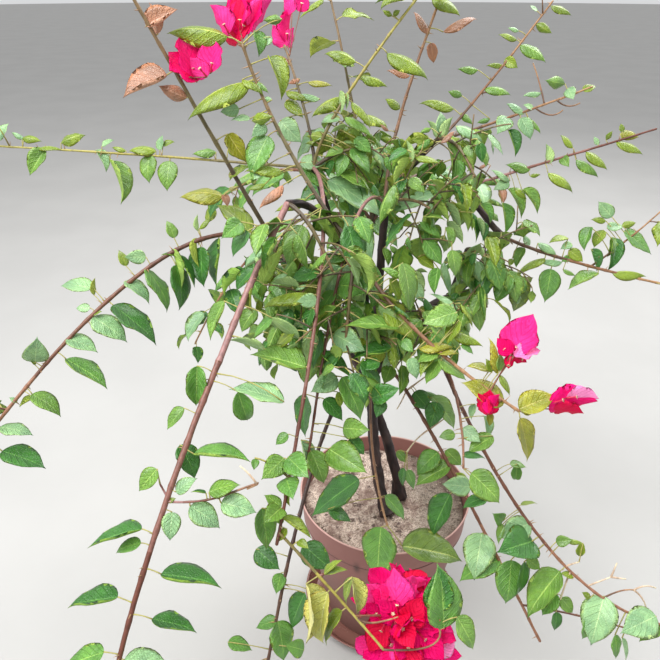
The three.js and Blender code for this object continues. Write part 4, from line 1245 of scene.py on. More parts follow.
    def add_leaf(self, stem, share, turn, size, hang, tint, luck, seen):
        ahead = stem.ahead(share)
        out = leaf_side(ahead, turn)
        axis = np.array([out[0], out[1], out[2] * 0.5 - hang - luck.between(0.05, 0.35)])
        axis = unit(axis + ahead * luck.between(0.1, 0.45))
        level = UP - axis * axis[2]
        normal = level if level.dot(level) > 0.02 else out
        normal = unit(normal - axis * axis.dot(normal))
        roll = luck.between(-ROLL, ROLL) * DEGREE
        normal = normal * math.cos(roll) + np.cross(axis, normal) * math.sin(roll)
        length = size * luck.between(0.8, 1.18)
        stalk = length * luck.between(0.18, 0.3)
        root = stem.at(share) + out * stem.radius(share) * 0.5
        lift = unit(out + ahead * 0.5 + UP * luck.between(-0.1, 0.35))
        knee = root + lift * stalk * 0.6
        base = knee + unit(lift * 0.4 + axis) * stalk * 0.5
        tip = base + axis * length
        if (seen and self.in_frame(base, tip)) or not self.fits(base, tip, length):
            return False
        folded = luck.roll()
        leaf = dict(
            base=base, axis=axis, normal=normal, length=length, tint=tint, skew=0, fine=False,
            width=length * self.leaf_width * luck.between(0.88, 1.08),
            fold=luck.between(0.1, 0.35) if folded < 0.72 else luck.between(0.5, 0.95),
            roll=luck.between(-0.35, 0.25) if folded < 0.8 else luck.between(0.5, 1.5),
            droop=luck.between(0.1, 0.75), curl=luck.between(0, 0.8), twist=luck.between(-0.35, 0.35),
            wave=luck.between(0.05, 0.25), phase=luck.between(0, 2 * math.pi), stalk=(root, knee, base),
        )
        if luck.roll() < TENTED:
            leaf.update(fold=-luck.between(0.2, 0.5), roll=-luck.between(0.4, 0.9))
            leaf.update(droop=luck.between(0.5, 1.0))
        self.leaves.append(leaf)
        return True

    def fits(self, base, tip, length):
        """Keeps a leaf off its neighbours, the pot, the soil and the ground, and in the box."""
        if (np.minimum(base, tip) < self.low).any() or (np.maximum(base, tip) > self.high).any():
            return False
        for share in (0.0, 0.5, 1.0):
            x, y, z = base + (tip - base) * share
            out = math.hypot(x, y)
            at_rim = self.rim - self.RIM_INSIDE < out < self.rim + self.RIM_OUTSIDE
            if z < self.OVER_GROUND or (at_rim and z < self.rim_z + self.OVER_RIM):
                return False
            if out < self.rim and z < self.soil_z + self.OVER_SOIL:
                return False
        if self.hides(base, tip):
            return False
        middle = (base + tip) / 2
        cell = tuple(int(v // self.LEAST_APART) for v in middle)
        for step in itertools.product((-1, 0, 1), repeat=3):
            for other in self.spots.get(tuple(c + s for c, s in zip(cell, step)), ()):
                if np.linalg.norm(other - middle) < self.LEAST_APART:
                    return False
        self.spots.setdefault(cell, []).append(middle)
        return True

    def add_thorn(self, stem, share, turn, luck):
        ahead = stem.ahead(share)
        out = outwards(ahead, turn)
        start = stem.at(share) + out * stem.radius(share) * 0.6
        length = luck.between(*THORN_LENGTH)
        bend = unit(out + ahead * luck.between(0.1, 0.6))
        knee = start + out * length / 2
        self.thorns.append((start, knee, knee + bend * length / 2))


# How a shown leaf is held: its widest share of its length, how it points towards the eye, the share
# of its width that its folds leave in view, and how it folds, rolls and droops
FLAT = dict(
    widest=0.66, towards=1, shown=0.95, fold=(0.05, 0.25), roll=(-0.3, 0.1), droop=(0.1, 0.5), skew=0,
    wave=(0.03, 0.12), behind=0, back=False,
)
OPEN_BRACT = dict(
    FLAT, widest=0.8, shown=0.9, fold=(0.1, 0.3), roll=(0.2, 0.6), droop=(-0.3, 0.3), wave=(0.15, 0.35)
)
POSES = {
    "flat": FLAT,
    "behind": dict(FLAT, towards=-0.4, behind=9),
    "cup": dict(FLAT, widest=0.56, shown=0.74, fold=(0.2, 0.45), roll=(0.9, 1.2), skew=1.1),
    "rim": dict(
        FLAT, widest=0.62, shown=0.86, fold=(0.1, 0.3), roll=(0.15, 0.4), droop=(0.1, 0.45), skew=0.9
    ),
    "tent": dict(FLAT, widest=0.5, shown=0.9, fold=(-0.5, -0.2), roll=(-0.9, -0.5), droop=(0.7, 1.1)),
    "hang": dict(
        FLAT, widest=0.5, towards=-0.5, shown=0.7, fold=(0.6, 0.9), roll=(-0.2, 0.3), droop=(0.2, 0.6)
    ),
    "back": dict(
        FLAT, widest=0.56, towards=0.5, shown=0.9, fold=(0.1, 0.4), roll=(-0.3, 0.2), droop=(0, 0.3),
        back=True,
    ),
    "inside": OPEN_BRACT,
    "outside": dict(OPEN_BRACT, back=True),
}


# Blades: leaves and bracts
class Blade:
    """The grid of a leaf or bract: two layers that share their margin, with a midrib strip."""

    def __init__(self, outline, columns, thick):
        self.along = np.array([place for place, _ in outline])
        self.wide = np.array([width for _, width in outline])
        self.columns = np.array(columns)
        self.thick = thick
        inner, cols = len(outline) - 2, 2 * len(columns)
        top = np.arange(inner * cols).reshape(inner, cols)
        low = top.copy()
        low[:, 1:-1] = inner * cols + np.arange(inner * (cols - 2)).reshape(inner, cols - 2)
        base = inner * cols + inner * (cols - 2)
        faces, finishes, fans, fan_finishes = [], [], [], []
        rib = cols // 2 - 1
        for layer, grid in ((0, top), (1, low)):
            for c in range(cols - 1):
                finish = 2 if c == rib else layer
                for r in range(inner - 1):
                    quad = [grid[r, c], grid[r, c + 1], grid[r + 1, c + 1], grid[r + 1, c]]
                    faces.append(quad if layer == 0 else quad[::-1])
                    finishes.append(finish)
                ends = ([base, grid[0, c + 1], grid[0, c]], [base + 1, grid[-1, c], grid[-1, c + 1]])
                for fan in ends:
                    fans.append(fan if layer == 0 else fan[::-1])
                    fan_finishes.append(finish)
        self.quads, self.fans = np.array(faces), np.array(fans)
        self.finishes = np.array(finishes), np.array(fan_finishes)
        across = np.concatenate([-self.columns[::-1], self.columns])
        along = self.along[1:-1]
        grids = [np.stack(np.meshgrid(row, along), -1).reshape(-1, 2) for row in (across, across[1:-1])]
        self.marks = np.vstack([*grids, [[0, 0], [0, 1]]])

    def points(self, blades):
        """The points of many blades at once, from a list of their measures."""

        def column(name):
            return np.array([blade[name] for blade in blades], float)

        axis, normal, base = column("axis"), column("normal"), column("base")
        side = np.cross(normal, axis)
        length, width = column("length"), column("width")
        along = self.along[None]
        tip = np.clip(along - 0.7, 0, 1) / 0.3
        bend = -(column("droop")[:, None] * along + column("curl")[:, None] * tip)
        steps = np.diff(self.along, prepend=0)[None] * length[:, None]
        run = np.cumsum(steps * np.cos(bend), 1)
        lift = np.cumsum(steps * np.sin(bend), 1)
        spine = base[:, None] + axis[:, None] * run[..., None] + normal[:, None] * lift[..., None]
        out = normal[:, None] * np.cos(bend)[..., None] - axis[:, None] * np.sin(bend)[..., None]
        twist = (column("twist")[:, None] * along)[..., None]
        across = side[:, None] * np.cos(twist) + out * np.sin(twist)
        out = out * np.cos(twist) - side[:, None] * np.sin(twist)

        reach = self.columns
        gaps = np.diff(reach, prepend=0)
        middles = reach - gaps / 2
        half = 0.5 * width[:, None] * self.wide[None]
        shape = along[..., None] * 2.2 * 2 * math.pi
        aside, above = across[:, :, None], out[:, :, None]
        flanks = []
        for way in (-1, 1):
            ripple = column("wave")[:, None, None] * np.sin(shape + column("phase")[:, None, None] + way)
            curl = column("roll") + way * column("skew")
            angle = column("fold")[:, None, None] * (middles > reach[0])
            angle = angle + (curl[:, None, None] + ripple * 2) * middles**2
            x = np.cumsum(gaps * np.cos(angle), 2) * half[..., None]
            z = np.cumsum(gaps * np.sin(angle), 2) * half[..., None]
            spots = spine[:, :, None] + aside * (way * x)[..., None] + above * z[..., None]
            facing = above * np.cos(angle)[..., None] - aside * (way * np.sin(angle))[..., None]
            flanks.append((spots, spots - facing * self.thick))
        top = np.concatenate([flanks[0][0][:, :, ::-1], flanks[1][0]], 2)[:, 1:-1]
        low = np.concatenate([flanks[0][1][:, :, ::-1], flanks[1][1]], 2)[:, 1:-1, 1:-1]
        count = len(blades)
        parts = [top.reshape(count, -1, 3), low.reshape(count, -1, 3), spine[:, :1], spine[:, -1:]]
        return np.concatenate(parts, 1)

    def pile(self, heap, blades, finish_step=0):
        """Adds the blades to a heap. Their finishes are top, underside and midrib."""
        if not blades:
            return
        finishes = [finish + finish_step for finish in self.finishes]
        for points in self.points(blades):
            heap.add(points, (self.quads, self.fans), finishes)
            heap.marks.append(self.marks)


def outline(round_base, slim_tip, drawn, places):
    """Places along a blade and its width there: rounded at its base, `drawn` out at its tip."""
    peak = round_base / (round_base + slim_tip)
    top = peak**round_base * (1 - peak) ** slim_tip
    rows = []
    for place in places:
        width = place**round_base * (1 - place) ** slim_tip / top
        rows.append((place, width * (1 - drawn * math.exp(-(((place - 0.93) / 0.09) ** 2)))))
    return tuple(rows)


LEAF_OUTLINE = outline(0.6, 1.15, 0.5, (0, 0.03, 0.12, 0.24, 0.38, 0.53, 0.68, 0.82, 0.93, 1))
LEAF_COLUMNS = (0.05, 0.55, 1.0)
FINE_OUTLINE = outline(0.6, 1.15, 0.5, (0, 0.02, 0.07, 0.15, 0.25, 0.36, 0.48, 0.6, 0.72, 0.83, 0.93, 1))
FINE_COLUMNS = (0.035, 0.38, 0.72, 1.0)
LEAF_THICK = 0.3
BRACT_OUTLINE = outline(0.5, 0.9, 0.4, (0, 0.02, 0.07, 0.15, 0.26, 0.38, 0.5, 0.62, 0.74, 0.85, 0.94, 1))
BRACT_COLUMNS = (0.04, 0.28, 0.52, 0.76, 1.0)
BRACT_THICK = 0.25
BRACT_LENGTH = 37
BRACT_WIDTH = 0.78
BLOOM_NEARER = 8
SMALL_BLOOM_NEARER = 14
TUBE_LENGTH = 11
BRACT_GLOW = 0.16  # painted glow: emission standing in for light that shines through a thin bract
LEAF_GLOW = 0.07  # and through a leaf, also a painted glow


# Heights on the pot where dark lines of painted shade mark its grooves, and how far each spreads
GROOVE_SHADE_LINES = ((0.2034, 0.0012), (0.1962, 0.0016))


# Finishes
def plastic_finish(name, colour, wet=0.0):
    """Terracotta-pink moulded plastic: paler at its lip with a painted highlight, darker towards its foot
    with painted shade, with dark painted shade lines at its grooves, finely scratched.
    """
    made = Finish(name)
    height = made.along("Z")
    cloud = made.noise(9, 4)
    fine = made.noise(120, 3)
    worn = made.mix(made.band(cloud, 0.35, 0.7), colour, tinted(colour, 0.84, 0.8, 0.8))
    # painted shade: the wall darkens to purple-brown towards its foot, and the whole saucer below it darkens
    # too
    foot_shade = made.band(height + cloud * 0.05, 0.225, 0.12)
    base = made.mix(foot_shade * 0.6, worn, srgb(112, 84, 76))
    # painted highlight: a pale pink band along the lip
    lip = made.band(height, 0.2425, 0.2447)
    base = made.mix(lip * 0.7, base, srgb(226, 184, 174))
    # painted shade: dark lines along the grooves at the foot of the band
    for level, half in GROOVE_SHADE_LINES:
        groove_shade = made.line(height + cloud * 0.001, level, half)
        base = made.mix(groove_shade * 0.7, base, srgb(70, 50, 46))
    stain = made.line(made.along("X") + cloud * 0.01, -0.04, 0.007) * made.line(height, 0.198, 0.022)
    stain = stain * made.band(made.along("Y"), -0.08, -0.1)
    base = made.mix(stain * 0.8, base, srgb(58, 44, 38))
    scratch = made.noise(60, 5, (1, 1, 9), 0.7)
    marks = made.band(scratch, 0.62, 0.72)
    base = made.mix(marks * 0.25, base, srgb(196, 150, 136))
    relief = made.bump(fine + scratch * 0.5, 0.12, 0.0006)
    rough = 0.5 - wet * 0.3 + fine * 0.12 + marks * 0.1
    return made.surfaced(Base_Color=base, Roughness=rough, Normal=relief)


def soil_finish():
    """Light sandy potting soil with dark damp pits and pale grit."""
    made = Finish("sandy_soil")
    coarse = made.noise(38, 6, rough=0.65)
    grain = made.noise(420, 4, rough=0.7)
    base = made.mix(made.band(coarse, 0.36, 0.6), srgb(140, 116, 104), srgb(226, 206, 190))
    base = made.mix(made.band(grain, 0.56, 0.42) * 0.7, base, srgb(112, 88, 80))
    pits = made.band(made.noise(95, 4), 0.42, 0.32)
    base = made.mix(pits * 0.85, base, srgb(74, 54, 50))
    # darkens the soil towards its +X side
    damp = made.band(made.along("X") + coarse * 0.05, 0.055, 0.1)
    base = made.mix(damp * 0.6, base, srgb(84, 76, 62))
    pale = made.band(made.cells(260), 0.16, 0.05)
    base = made.mix(pale * 0.7, base, srgb(230, 216, 200))
    relief = made.bump(coarse * 0.6 + grain * 0.5 + pale * 0.3, 0.7, 0.004)
    return made.surfaced(Base_Color=base, Roughness=0.9, Normal=relief)


def grit_finish():
    """Pale and brown crumbs on the soil."""
    made = Finish("soil_grit")
    shade = made.noise(170, 2)
    base = made.node(
        "ShaderNodeValToRGB",
        {"stops": ((0.32, srgb(96, 76, 68)), (0.5, srgb(168, 146, 126)), (0.68, srgb(222, 208, 188)))},
        {0: shade},
    )
    return made.surfaced(Base_Color=base, Roughness=0.85, Normal=made.bump(made.noise(700, 3), 0.4, 0.001))


def bark_finish():
    """Dark damp purple-brown bark with lengthwise cracks and grey patches."""
    made = Finish("dark_bark")
    ridges = made.noise(90, 6, (1, 1, 0.22), 0.62)
    patch = made.noise(26, 3)
    base = made.mix(made.band(ridges, 0.36, 0.62), srgb(24, 14, 16), srgb(58, 40, 38))
    base = made.mix(made.band(patch, 0.52, 0.7) * 0.5, base, srgb(86, 64, 60))
    relief = made.bump(ridges + made.noise(500, 3) * 0.25, 0.8, 0.0016)
    return made.surfaced(Base_Color=base, Roughness=0.62, Normal=relief)


def cane_finish(name, colour):
    """Thin young bark: one colour with faint lengthwise streaks and small pores."""
    made = Finish(name)
    streak = made.noise(240, 4, (1, 1, 0.4), 0.6)
    base = made.mix(made.band(streak, 0.3, 0.6), dimmed(colour, 0.62), colour)
    return made.surfaced(Base_Color=base, Roughness=0.45, Normal=made.bump(streak, 0.4, 0.0008))


def veins(made, pairs, sweep, fine):
    """Lines that leave the midrib in pairs and sweep towards the tip, and the way out from it."""
    spot = made.node("ShaderNodeUVMap", {"uv_map": BLADE_MAP})
    across = made.node("ShaderNodeSeparateXYZ", None, {0: spot}, output="X")
    along = made.node("ShaderNodeSeparateXYZ", None, {0: spot}, output="Y")
    off = across.math("MULTIPLY", across) ** 0.5
    phase = (along - off * sweep + made.noise(40, 2) * 0.05) * pairs
    nearness = phase.math("PINGPONG", 0.5)
    return made.band(nearness, fine, 0.0), off


def leaf_finish(name, colour, glossy):
    """A leaf's skin: soft clouds, paired veins, quilted flesh between them and a bright thin margin."""
    made = Finish(name)
    cloud = made.noise(55, 3)
    net = made.band(made.cells(420, "DISTANCE_TO_EDGE"), 0.0, 0.25)
    vein, off = veins(made, 6.5, 0.32, 0.16)
    dark, light = tinted(colour, 0.66, 0.7, 0.8), tinted(colour, 1.2, 1.14, 1.2)
    base = made.mix(made.band(cloud, 0.3, 0.7), dark, light)
    base = made.mix(net * 0.16, base, tinted(colour, 0.72, 0.78, 0.8))
    base = made.mix(vein * 0.2, base, tinted(colour, 1.7, 1.4, 1.4, 0.02))
    margin = made.band(off, 0.74, 1.0) * (0.55 if glossy else 0.15)
    base = made.mix(margin, base, tinted(colour, 2.0, 1.5, 1.0, 0.02))
    relief = made.bump(made.noise(90, 3) * 1.2 + net * 0.3 - vein * 0.5, 0.8, 0.0018)
    return made.surfaced(
        Base_Color=base, Roughness=(0.3 if glossy else 0.55) + 0.16 * cloud, Normal=relief,
        Specular_IOR_Level=0.5 if glossy else 0.3, Coat_Weight=0.35 if glossy else 0.0, Coat_Roughness=0.2,
        # painted glow: the leaf emits its own colour, standing in for light shining through it
        Emission_Color=base, Emission_Strength=LEAF_GLOW,
    )


def bract_finish(name, colour):
    """A papery bract: bright, with paired veins, a fine net between them and a crinkled surface."""
    made = Finish(name)
    net = made.band(made.cells(520, "DISTANCE_TO_EDGE"), 0.12, 0.0)
    vein, _ = veins(made, 6, 0.5, 0.16)
    cloud = made.noise(60, 3)
    light = tinted(colour, 1.12, 1.5, 1.3, 0.006)
    base = made.mix(made.band(cloud, 0.35, 0.7), colour, light)
    base = made.mix(vein * 0.22 + net * 0.2, base, dimmed(colour, 0.78))
    relief = made.bump(made.noise(110, 4) - vein * 0.3 - net * 0.15, 0.9, 0.0024)
    return made.surfaced(
        Base_Color=base, Roughness=0.6, Specular_IOR_Level=0.15, Normal=relief,
        # painted glow: the bract emits its own colour, standing in for light shining through it
        Emission_Color=base, Emission_Strength=BRACT_GLOW,
    )


def plain_finish(name, colour):
    """A small part of one colour with a fine grain."""
    made = Finish(name)
    fine = made.noise(300, 3)
    base = made.mix(made.band(fine, 0.35, 0.65), dimmed(colour, 0.75), colour)
    return made.surfaced(Base_Color=base, Roughness=0.5, Normal=made.bump(fine, 0.2, 0.0008))


# Settings
class PotSettings(bpy.types.PropertyGroup):
    """Sizes and colour of the pot and its saucer."""

    rim_radius: FloatProperty(
        name="Rim radius", description="Half the pot's width at its rim", default=0.13, unit="LENGTH"
    )
    rim_height: FloatProperty(
        name="Rim height", description="The rim above the ground", default=0.245, unit="LENGTH"
    )
    band_height: FloatProperty(
        name="Band height", description="The upright band under the rim", default=0.048, unit="LENGTH"
    )
    foot_radius: FloatProperty(
        name="Foot radius", description="Half the pot's width at its foot", default=0.088, unit="LENGTH"
    )
    saucer_radius: FloatProperty(
        name="Saucer radius", description="Half the saucer's width", default=0.125, unit="LENGTH"
    )
    saucer_height: FloatProperty(
        name="Saucer height", description="Height of the saucer's edge", default=0.022, unit="LENGTH"
    )
    soil_height: FloatProperty(
        name="Soil height", description="The soil's edge above the ground", default=0.22, unit="LENGTH"
    )
    colour: FloatVectorProperty(
        name="Plastic", description="Colour of the plastic", default=srgb(150, 102, 94)[:3], subtype="COLOR"
    )


class FoliageSettings(bpy.types.PropertyGroup):
    """Sizes of the leaves."""

    leaf_length: FloatProperty(
        name="Leaf length", description="Length of a grown leaf", default=0.054, unit="LENGTH"
    )
    leaf_width: FloatProperty(
        name="Leaf width", description="Width as a share of the length", default=0.66, subtype="FACTOR"
    )
    bark_sides: IntProperty(name="Bark sides", description="Faces round the trunk", default=22, min=8)


class BlossomSettings(bpy.types.PropertyGroup):
    """Colour of the tube flowers."""

    tube: FloatVectorProperty(
        name="Tube flower", description="Colour of the small tube flowers", default=srgb(236, 226, 186)[:3],
        subtype="COLOR",
    )


class StageSettings(bpy.types.PropertyGroup):
    """The floor and the lights."""

    floor: FloatVectorProperty(
        name="Floor", description="Colour of the floor", default=srgb(182, 181, 178)[:3], subtype="COLOR"
    )
    light_power: FloatProperty(
        name="Light power", description="Power of the main soft light", default=112.0, unit="POWER"
    )


class BUSH_OT_pot(bpy.types.Operator):
    """Turns the pot with its banded rim"""

    bl_idname = "bush.pot"
    bl_label = "Pot"

    def execute(self, context):
        pot = context.scene.bush_pot
        rim, top, foot = pot.rim_radius, pot.rim_height, pot.foot_radius
        band_foot = top - pot.band_height
        upper = rim - BAND_OUT
        floor = (SAUCER_FLOOR + GAP) * MM
        wall = POT_WALL * MM
        corners = [
            (foot - 0.012, floor), (foot - 0.003, floor), (foot, floor + 0.003),
            (upper, band_foot - 0.002), (upper + 0.0012, band_foot), (upper + 0.0012, band_foot + 0.0012),
            (upper + 0.0042, band_foot + 0.0022), (upper + 0.0044, band_foot + 0.006),
            (upper + 0.0032, band_foot + 0.0064), (upper + 0.0046, band_foot + 0.0076),
            (rim - 0.0022, top - 0.0042), (rim - 0.0004, top - 0.003), (rim, top - 0.0014),
            (rim - 0.0012, top), (rim - 0.0024, top - 0.0006), (rim - wall - 0.0002, top - 0.0024),
            (upper - wall + 0.002, band_foot), (foot - wall, floor + wall), (foot - 0.03, floor + wall),
        ]
        piece = turned(eased(corners, EASE), POT_SIDES)
        finish = plastic_finish("pot_plastic", (*pot.colour, 1))
        dressed(piece, "plastic_pot", ["pot"], [finish])
        return {"FINISHED"}


class BUSH_OT_saucer(bpy.types.Operator):
    """Turns the wet saucer"""

    bl_idname = "bush.saucer"
    bl_label = "Saucer"

    def execute(self, context):
        pot = context.scene.bush_pot
        out, top = pot.saucer_radius, pot.saucer_height
        floor = SAUCER_FLOOR * MM
        corners = [
            (out - 0.02, 0), (out - 0.016, 0), (out - 0.012, 0.003), (out - 0.0022, top - 0.004),
            (out, top - 0.002), (out, top), (out - 0.003, top), (out - 0.0055, top - 0.005),
            (out - 0.016, floor + 0.0006), (out - 0.024, floor), (0.06, floor), (0.05, floor),
        ]
        piece = turned(eased(corners, EASE), POT_SIDES)
        finish = plastic_finish("saucer_plastic", srgb(150, 92, 80), wet=1.0)
        dressed(piece, "plastic_saucer", ["saucer"], [finish])
        return {"FINISHED"}


class BUSH_OT_soil(bpy.types.Operator):
    """Fills the pot with lumpy soil and strews grit on it"""

    bl_idname = "bush.soil"
    bl_label = "Soil"

    def execute(self, context):
        pot = context.scene.bush_pot
        level = pot.soil_height
        floor = (SAUCER_FLOOR + 2 * GAP + POT_WALL) * MM
        edge = pot.rim_radius - BAND_OUT - POT_WALL * MM - 0.001
        rings = [(pot.foot_radius - 0.005, floor), (edge, pot.rim_height - pot.band_height)]
        edge += SOIL_SPREAD * MM
        rings.append((edge, level - 0.002))
        shares = [1 - k / SOIL_RINGS for k in range(1, SOIL_RINGS)]
        rings += [(edge * share, self.level_at(share, level)) for share in shares]
        piece = turned(rings, SOIL_SIDES)
        choose(piece)
        lumps = bpy.data.textures.new("soil_lumps", "CLOUDS")
        lumps.noise_scale = 0.012
        lumps.noise_depth = 5
        top = piece.vertex_groups.new(name="top")
        top.add([v.index for v in piece.data.vertices if v.co.z > level - 0.001], 1.0, "REPLACE")
        push = piece.modifiers.new("lumps", "DISPLACE")
        push.texture = lumps
        push.texture_coords = "LOCAL"
        push.strength = 0.012
        push.mid_level = 0.56
        push.vertex_group = "top"
        bpy.ops.object.modifier_apply(modifier="lumps")
        piece.vertex_groups.clear()
        piece.data.shade_smooth()
        dressed(piece, "potting_soil", ["soil"], [soil_finish()])
        self.strew(level, edge)
        return {"FINISHED"}

    @staticmethod
    def level_at(share, level):
        """The soil rises gently from its edge to the stems."""
        return level + SOIL_MOUND * MM * (1 - max(0.0, (share - 0.35) / 0.65) ** 1.5)

    def strew(self, level, edge):
        luck = Dice(SEEDS["grit"])
        heap = Heap()
        corners = np.array([[1, 0, 0], [-1, 0, 0], [0, 1, 0], [0, -1, 0], [0, 0, 1], [0, 0, -1]], float)
        faces = np.array([
            [0, 2, 4], [2, 1, 4], [1, 3, 4], [3, 0, 4], [2, 0, 5], [1, 2, 5], [3, 1, 5], [0, 3, 5],
        ])
        for _ in range(GRAINS):
            out = math.sqrt(luck.roll()) * (edge / MM - 3)
            turn = luck.between(0, 360)
            size = luck.between(0.5, 1.7) * (1.6 if luck.roll() < 0.08 else 1)
            spot = heading(turn) * out + UP * (self.level_at(out / (edge / MM), level) / MM + size * 0.2)
            squeeze = np.array([luck.between(0.7, 1.4), luck.between(0.7, 1.4), luck.between(0.5, 0.9)])
            jitter = np.array([[luck.between(-0.25, 0.25) for _ in range(3)] for _ in corners])
            turned_corners = (corners + jitter) * squeeze * size
            heap.add(turned_corners + spot, [faces])
        heap.piece("soil_grit", "soil", ["soil"], [grit_finish()])


class BUSH_OT_limbs(bpy.types.Operator):
    """Grows the trunk and boughs with their bark"""

    bl_idname = "bush.limbs"
    bl_label = "Trunk and boughs"

    def execute(self, context):
        plan = Plan(context.scene)
        finish = bark_finish()
        for k, (name, stem) in enumerate(plan.limbs.items()):
            heap = Heap()
            heap.add(*self.bark(stem, context.scene.bush_foliage.bark_sides, Dice(SEEDS["limbs"] + k)))
            heap.piece(name + "_bark", "bark", [name], [finish])
        return {"FINISHED"}

    @staticmethod
    def bark(stem, sides, luck):
        """A tube with lengthwise ridges, knots and, at the soil, a flared foot."""
        rings = max(12, round(stem.length / 2.2))
        share = np.linspace(0, 1, rings)
        turn = np.arange(sides) / sides * 2 * math.pi
        run = share * stem.length
        relief = np.ones((rings, sides))
        for _ in range(9):
            around = 1 + int(luck.between(0, 7))
            pitch = luck.between(18, 90)
            wave = np.sin(around * turn[None] + run[:, None] / pitch * 2 * math.pi + luck.between(0, 6.3))
            relief += wave * luck.between(0.015, 0.04)
        grain = np.array([[luck.between(-1, 1) for _ in range(sides)] for _ in range(rings)])
        relief += 0.025 * grain
        for _ in range(max(2, round(stem.length / 45))):
            where, facing = luck.between(8, stem.length - 6), luck.between(0, 2 * math.pi)
            near = np.exp(-(((run - where) / 4) ** 2))[:, None]
            relief += near * np.clip(np.cos(turn - facing), 0, 1)[None] ** 3 * luck.between(0.15, 0.4)
        radii = stem.radius(share)
        if stem.facts["footed"]:
            radii = radii + FLARE * np.clip(1 - share / FLARE_SHARE, 0, None)
        else:
            radii = radii * (1 + 0.25 * np.exp(-run / 6))
        points, faces = tube(stem.at(share), radii, sides, relief, blunt=0.35)
        if stem.facts["footed"]:
            points[:, 2] = np.maximum(points[:, 2], stem.line[0][2])
        return points, faces


class BUSH_OT_canes(bpy.types.Operator):
    """Grows the canes, twigs, leaf stalks and thorns"""

    bl_idname = "bush.canes"
    bl_label = "Canes and twigs"

    def execute(self, context):
        plan = Plan(context.scene)
        heaps = {name: Heap() for name in BARKS}
        nodes = {name: set() for name in BARKS}
        luck = Dice(SEEDS["canes"])
        for mass, stems in plan.masses.items():
            for stem in stems:
                bark = stem.facts["bark"]
                nodes[bark].add(mass)
                self.cane(heaps[bark], stem, luck)
        for name, heap in heaps.items():
            finishes = [cane_finish(f"{name}_cane_{k}", srgb(*BARKS[name][k])) for k in range(3)]
            heap.piece(f"{name}_canes", "bark", sorted(nodes[name]), finishes)
        stalks, thorns = Heap(), Heap()
        for leaf in plan.leaves:
            thin = 0.55 + leaf["length"] * 0.004
            radii = np.array([1.35, 1, 0.9, 1, 1.1]) * thin
            stalks.add(*tube(curved(*leaf["stalk"], len(radii)), radii, 4))
        stalk_finish = plain_finish("leaf_stalk", srgb(176, 168, 96))
        stalks.piece("leaf_stalks", "foliage", list(plan.masses), [stalk_finish])
        for thorn in plan.thorns:
            thorns.add(*tube(curved(*thorn, len(THORN_RADII)), THORN_RADII, 4))
        thorns.piece("thorns", "bark", list(CANES), [plain_finish("thorn", srgb(176, 140, 104))])
        return {"FINISHED"}

    @staticmethod
    def cane(heap, stem, luck):
        rings = max(5, round(stem.length / 4.5))
        share = np.linspace(0, 1, rings)
        sides = 9 if stem.thick[0] > 2 else 6
        radii = stem.radius(share)
        run = share * stem.length
        for node in stem.facts.get("nodes", ()):
            radii = radii * (1 + 0.22 * np.exp(-(((run - node * stem.length) / 3.2) ** 2)))
        line = stem.at(share)
        drift = np.cumsum([[luck.between(-1, 1) for _ in range(3)] for _ in range(rings)], axis=0)
        drift -= drift[0]
        drift -= drift[-1] * share[:, None]
        line = line + drift * 0.12
        points, faces = tube(line, radii, sides)
        third = np.clip((share[:-1] * 3).astype(int), 0, 2).repeat(sides)
        heap.add(points, faces, (third, 0, 2))


class BUSH_OT_foliage(bpy.types.Operator):
    """Hangs the leaves on their stalks"""

    bl_idname = "bush.foliage"
    bl_label = "Leaves"

    def execute(self, context):
        plan = Plan(context.scene)
        blade = Blade(LEAF_OUTLINE, LEAF_COLUMNS, LEAF_THICK)
        fine_blade = Blade(FINE_OUTLINE, FINE_COLUMNS, LEAF_THICK)
        for tint, colours in TINTS.items():
            top, under, rib = (srgb(*colour) for colour in colours)
            leaves = [leaf for leaf in plan.leaves if leaf["tint"] == tint]
            heap = Heap()
            blade.pile(heap, [leaf for leaf in leaves if not leaf["fine"]])
            fine_blade.pile(heap, [leaf for leaf in leaves if leaf["fine"]])
            finishes = [
                leaf_finish(tint + "_leaf", top, True),
                leaf_finish(tint + "_leaf_under", under, False),
                leaf_finish(tint + "_leaf_rib", rib, True),
            ]
            slot = "young_foliage" if tint in YOUNG_TINTS else "foliage"
            heap.piece(tint + "_leaves", slot, list(plan.masses), finishes)
        return {"FINISHED"}


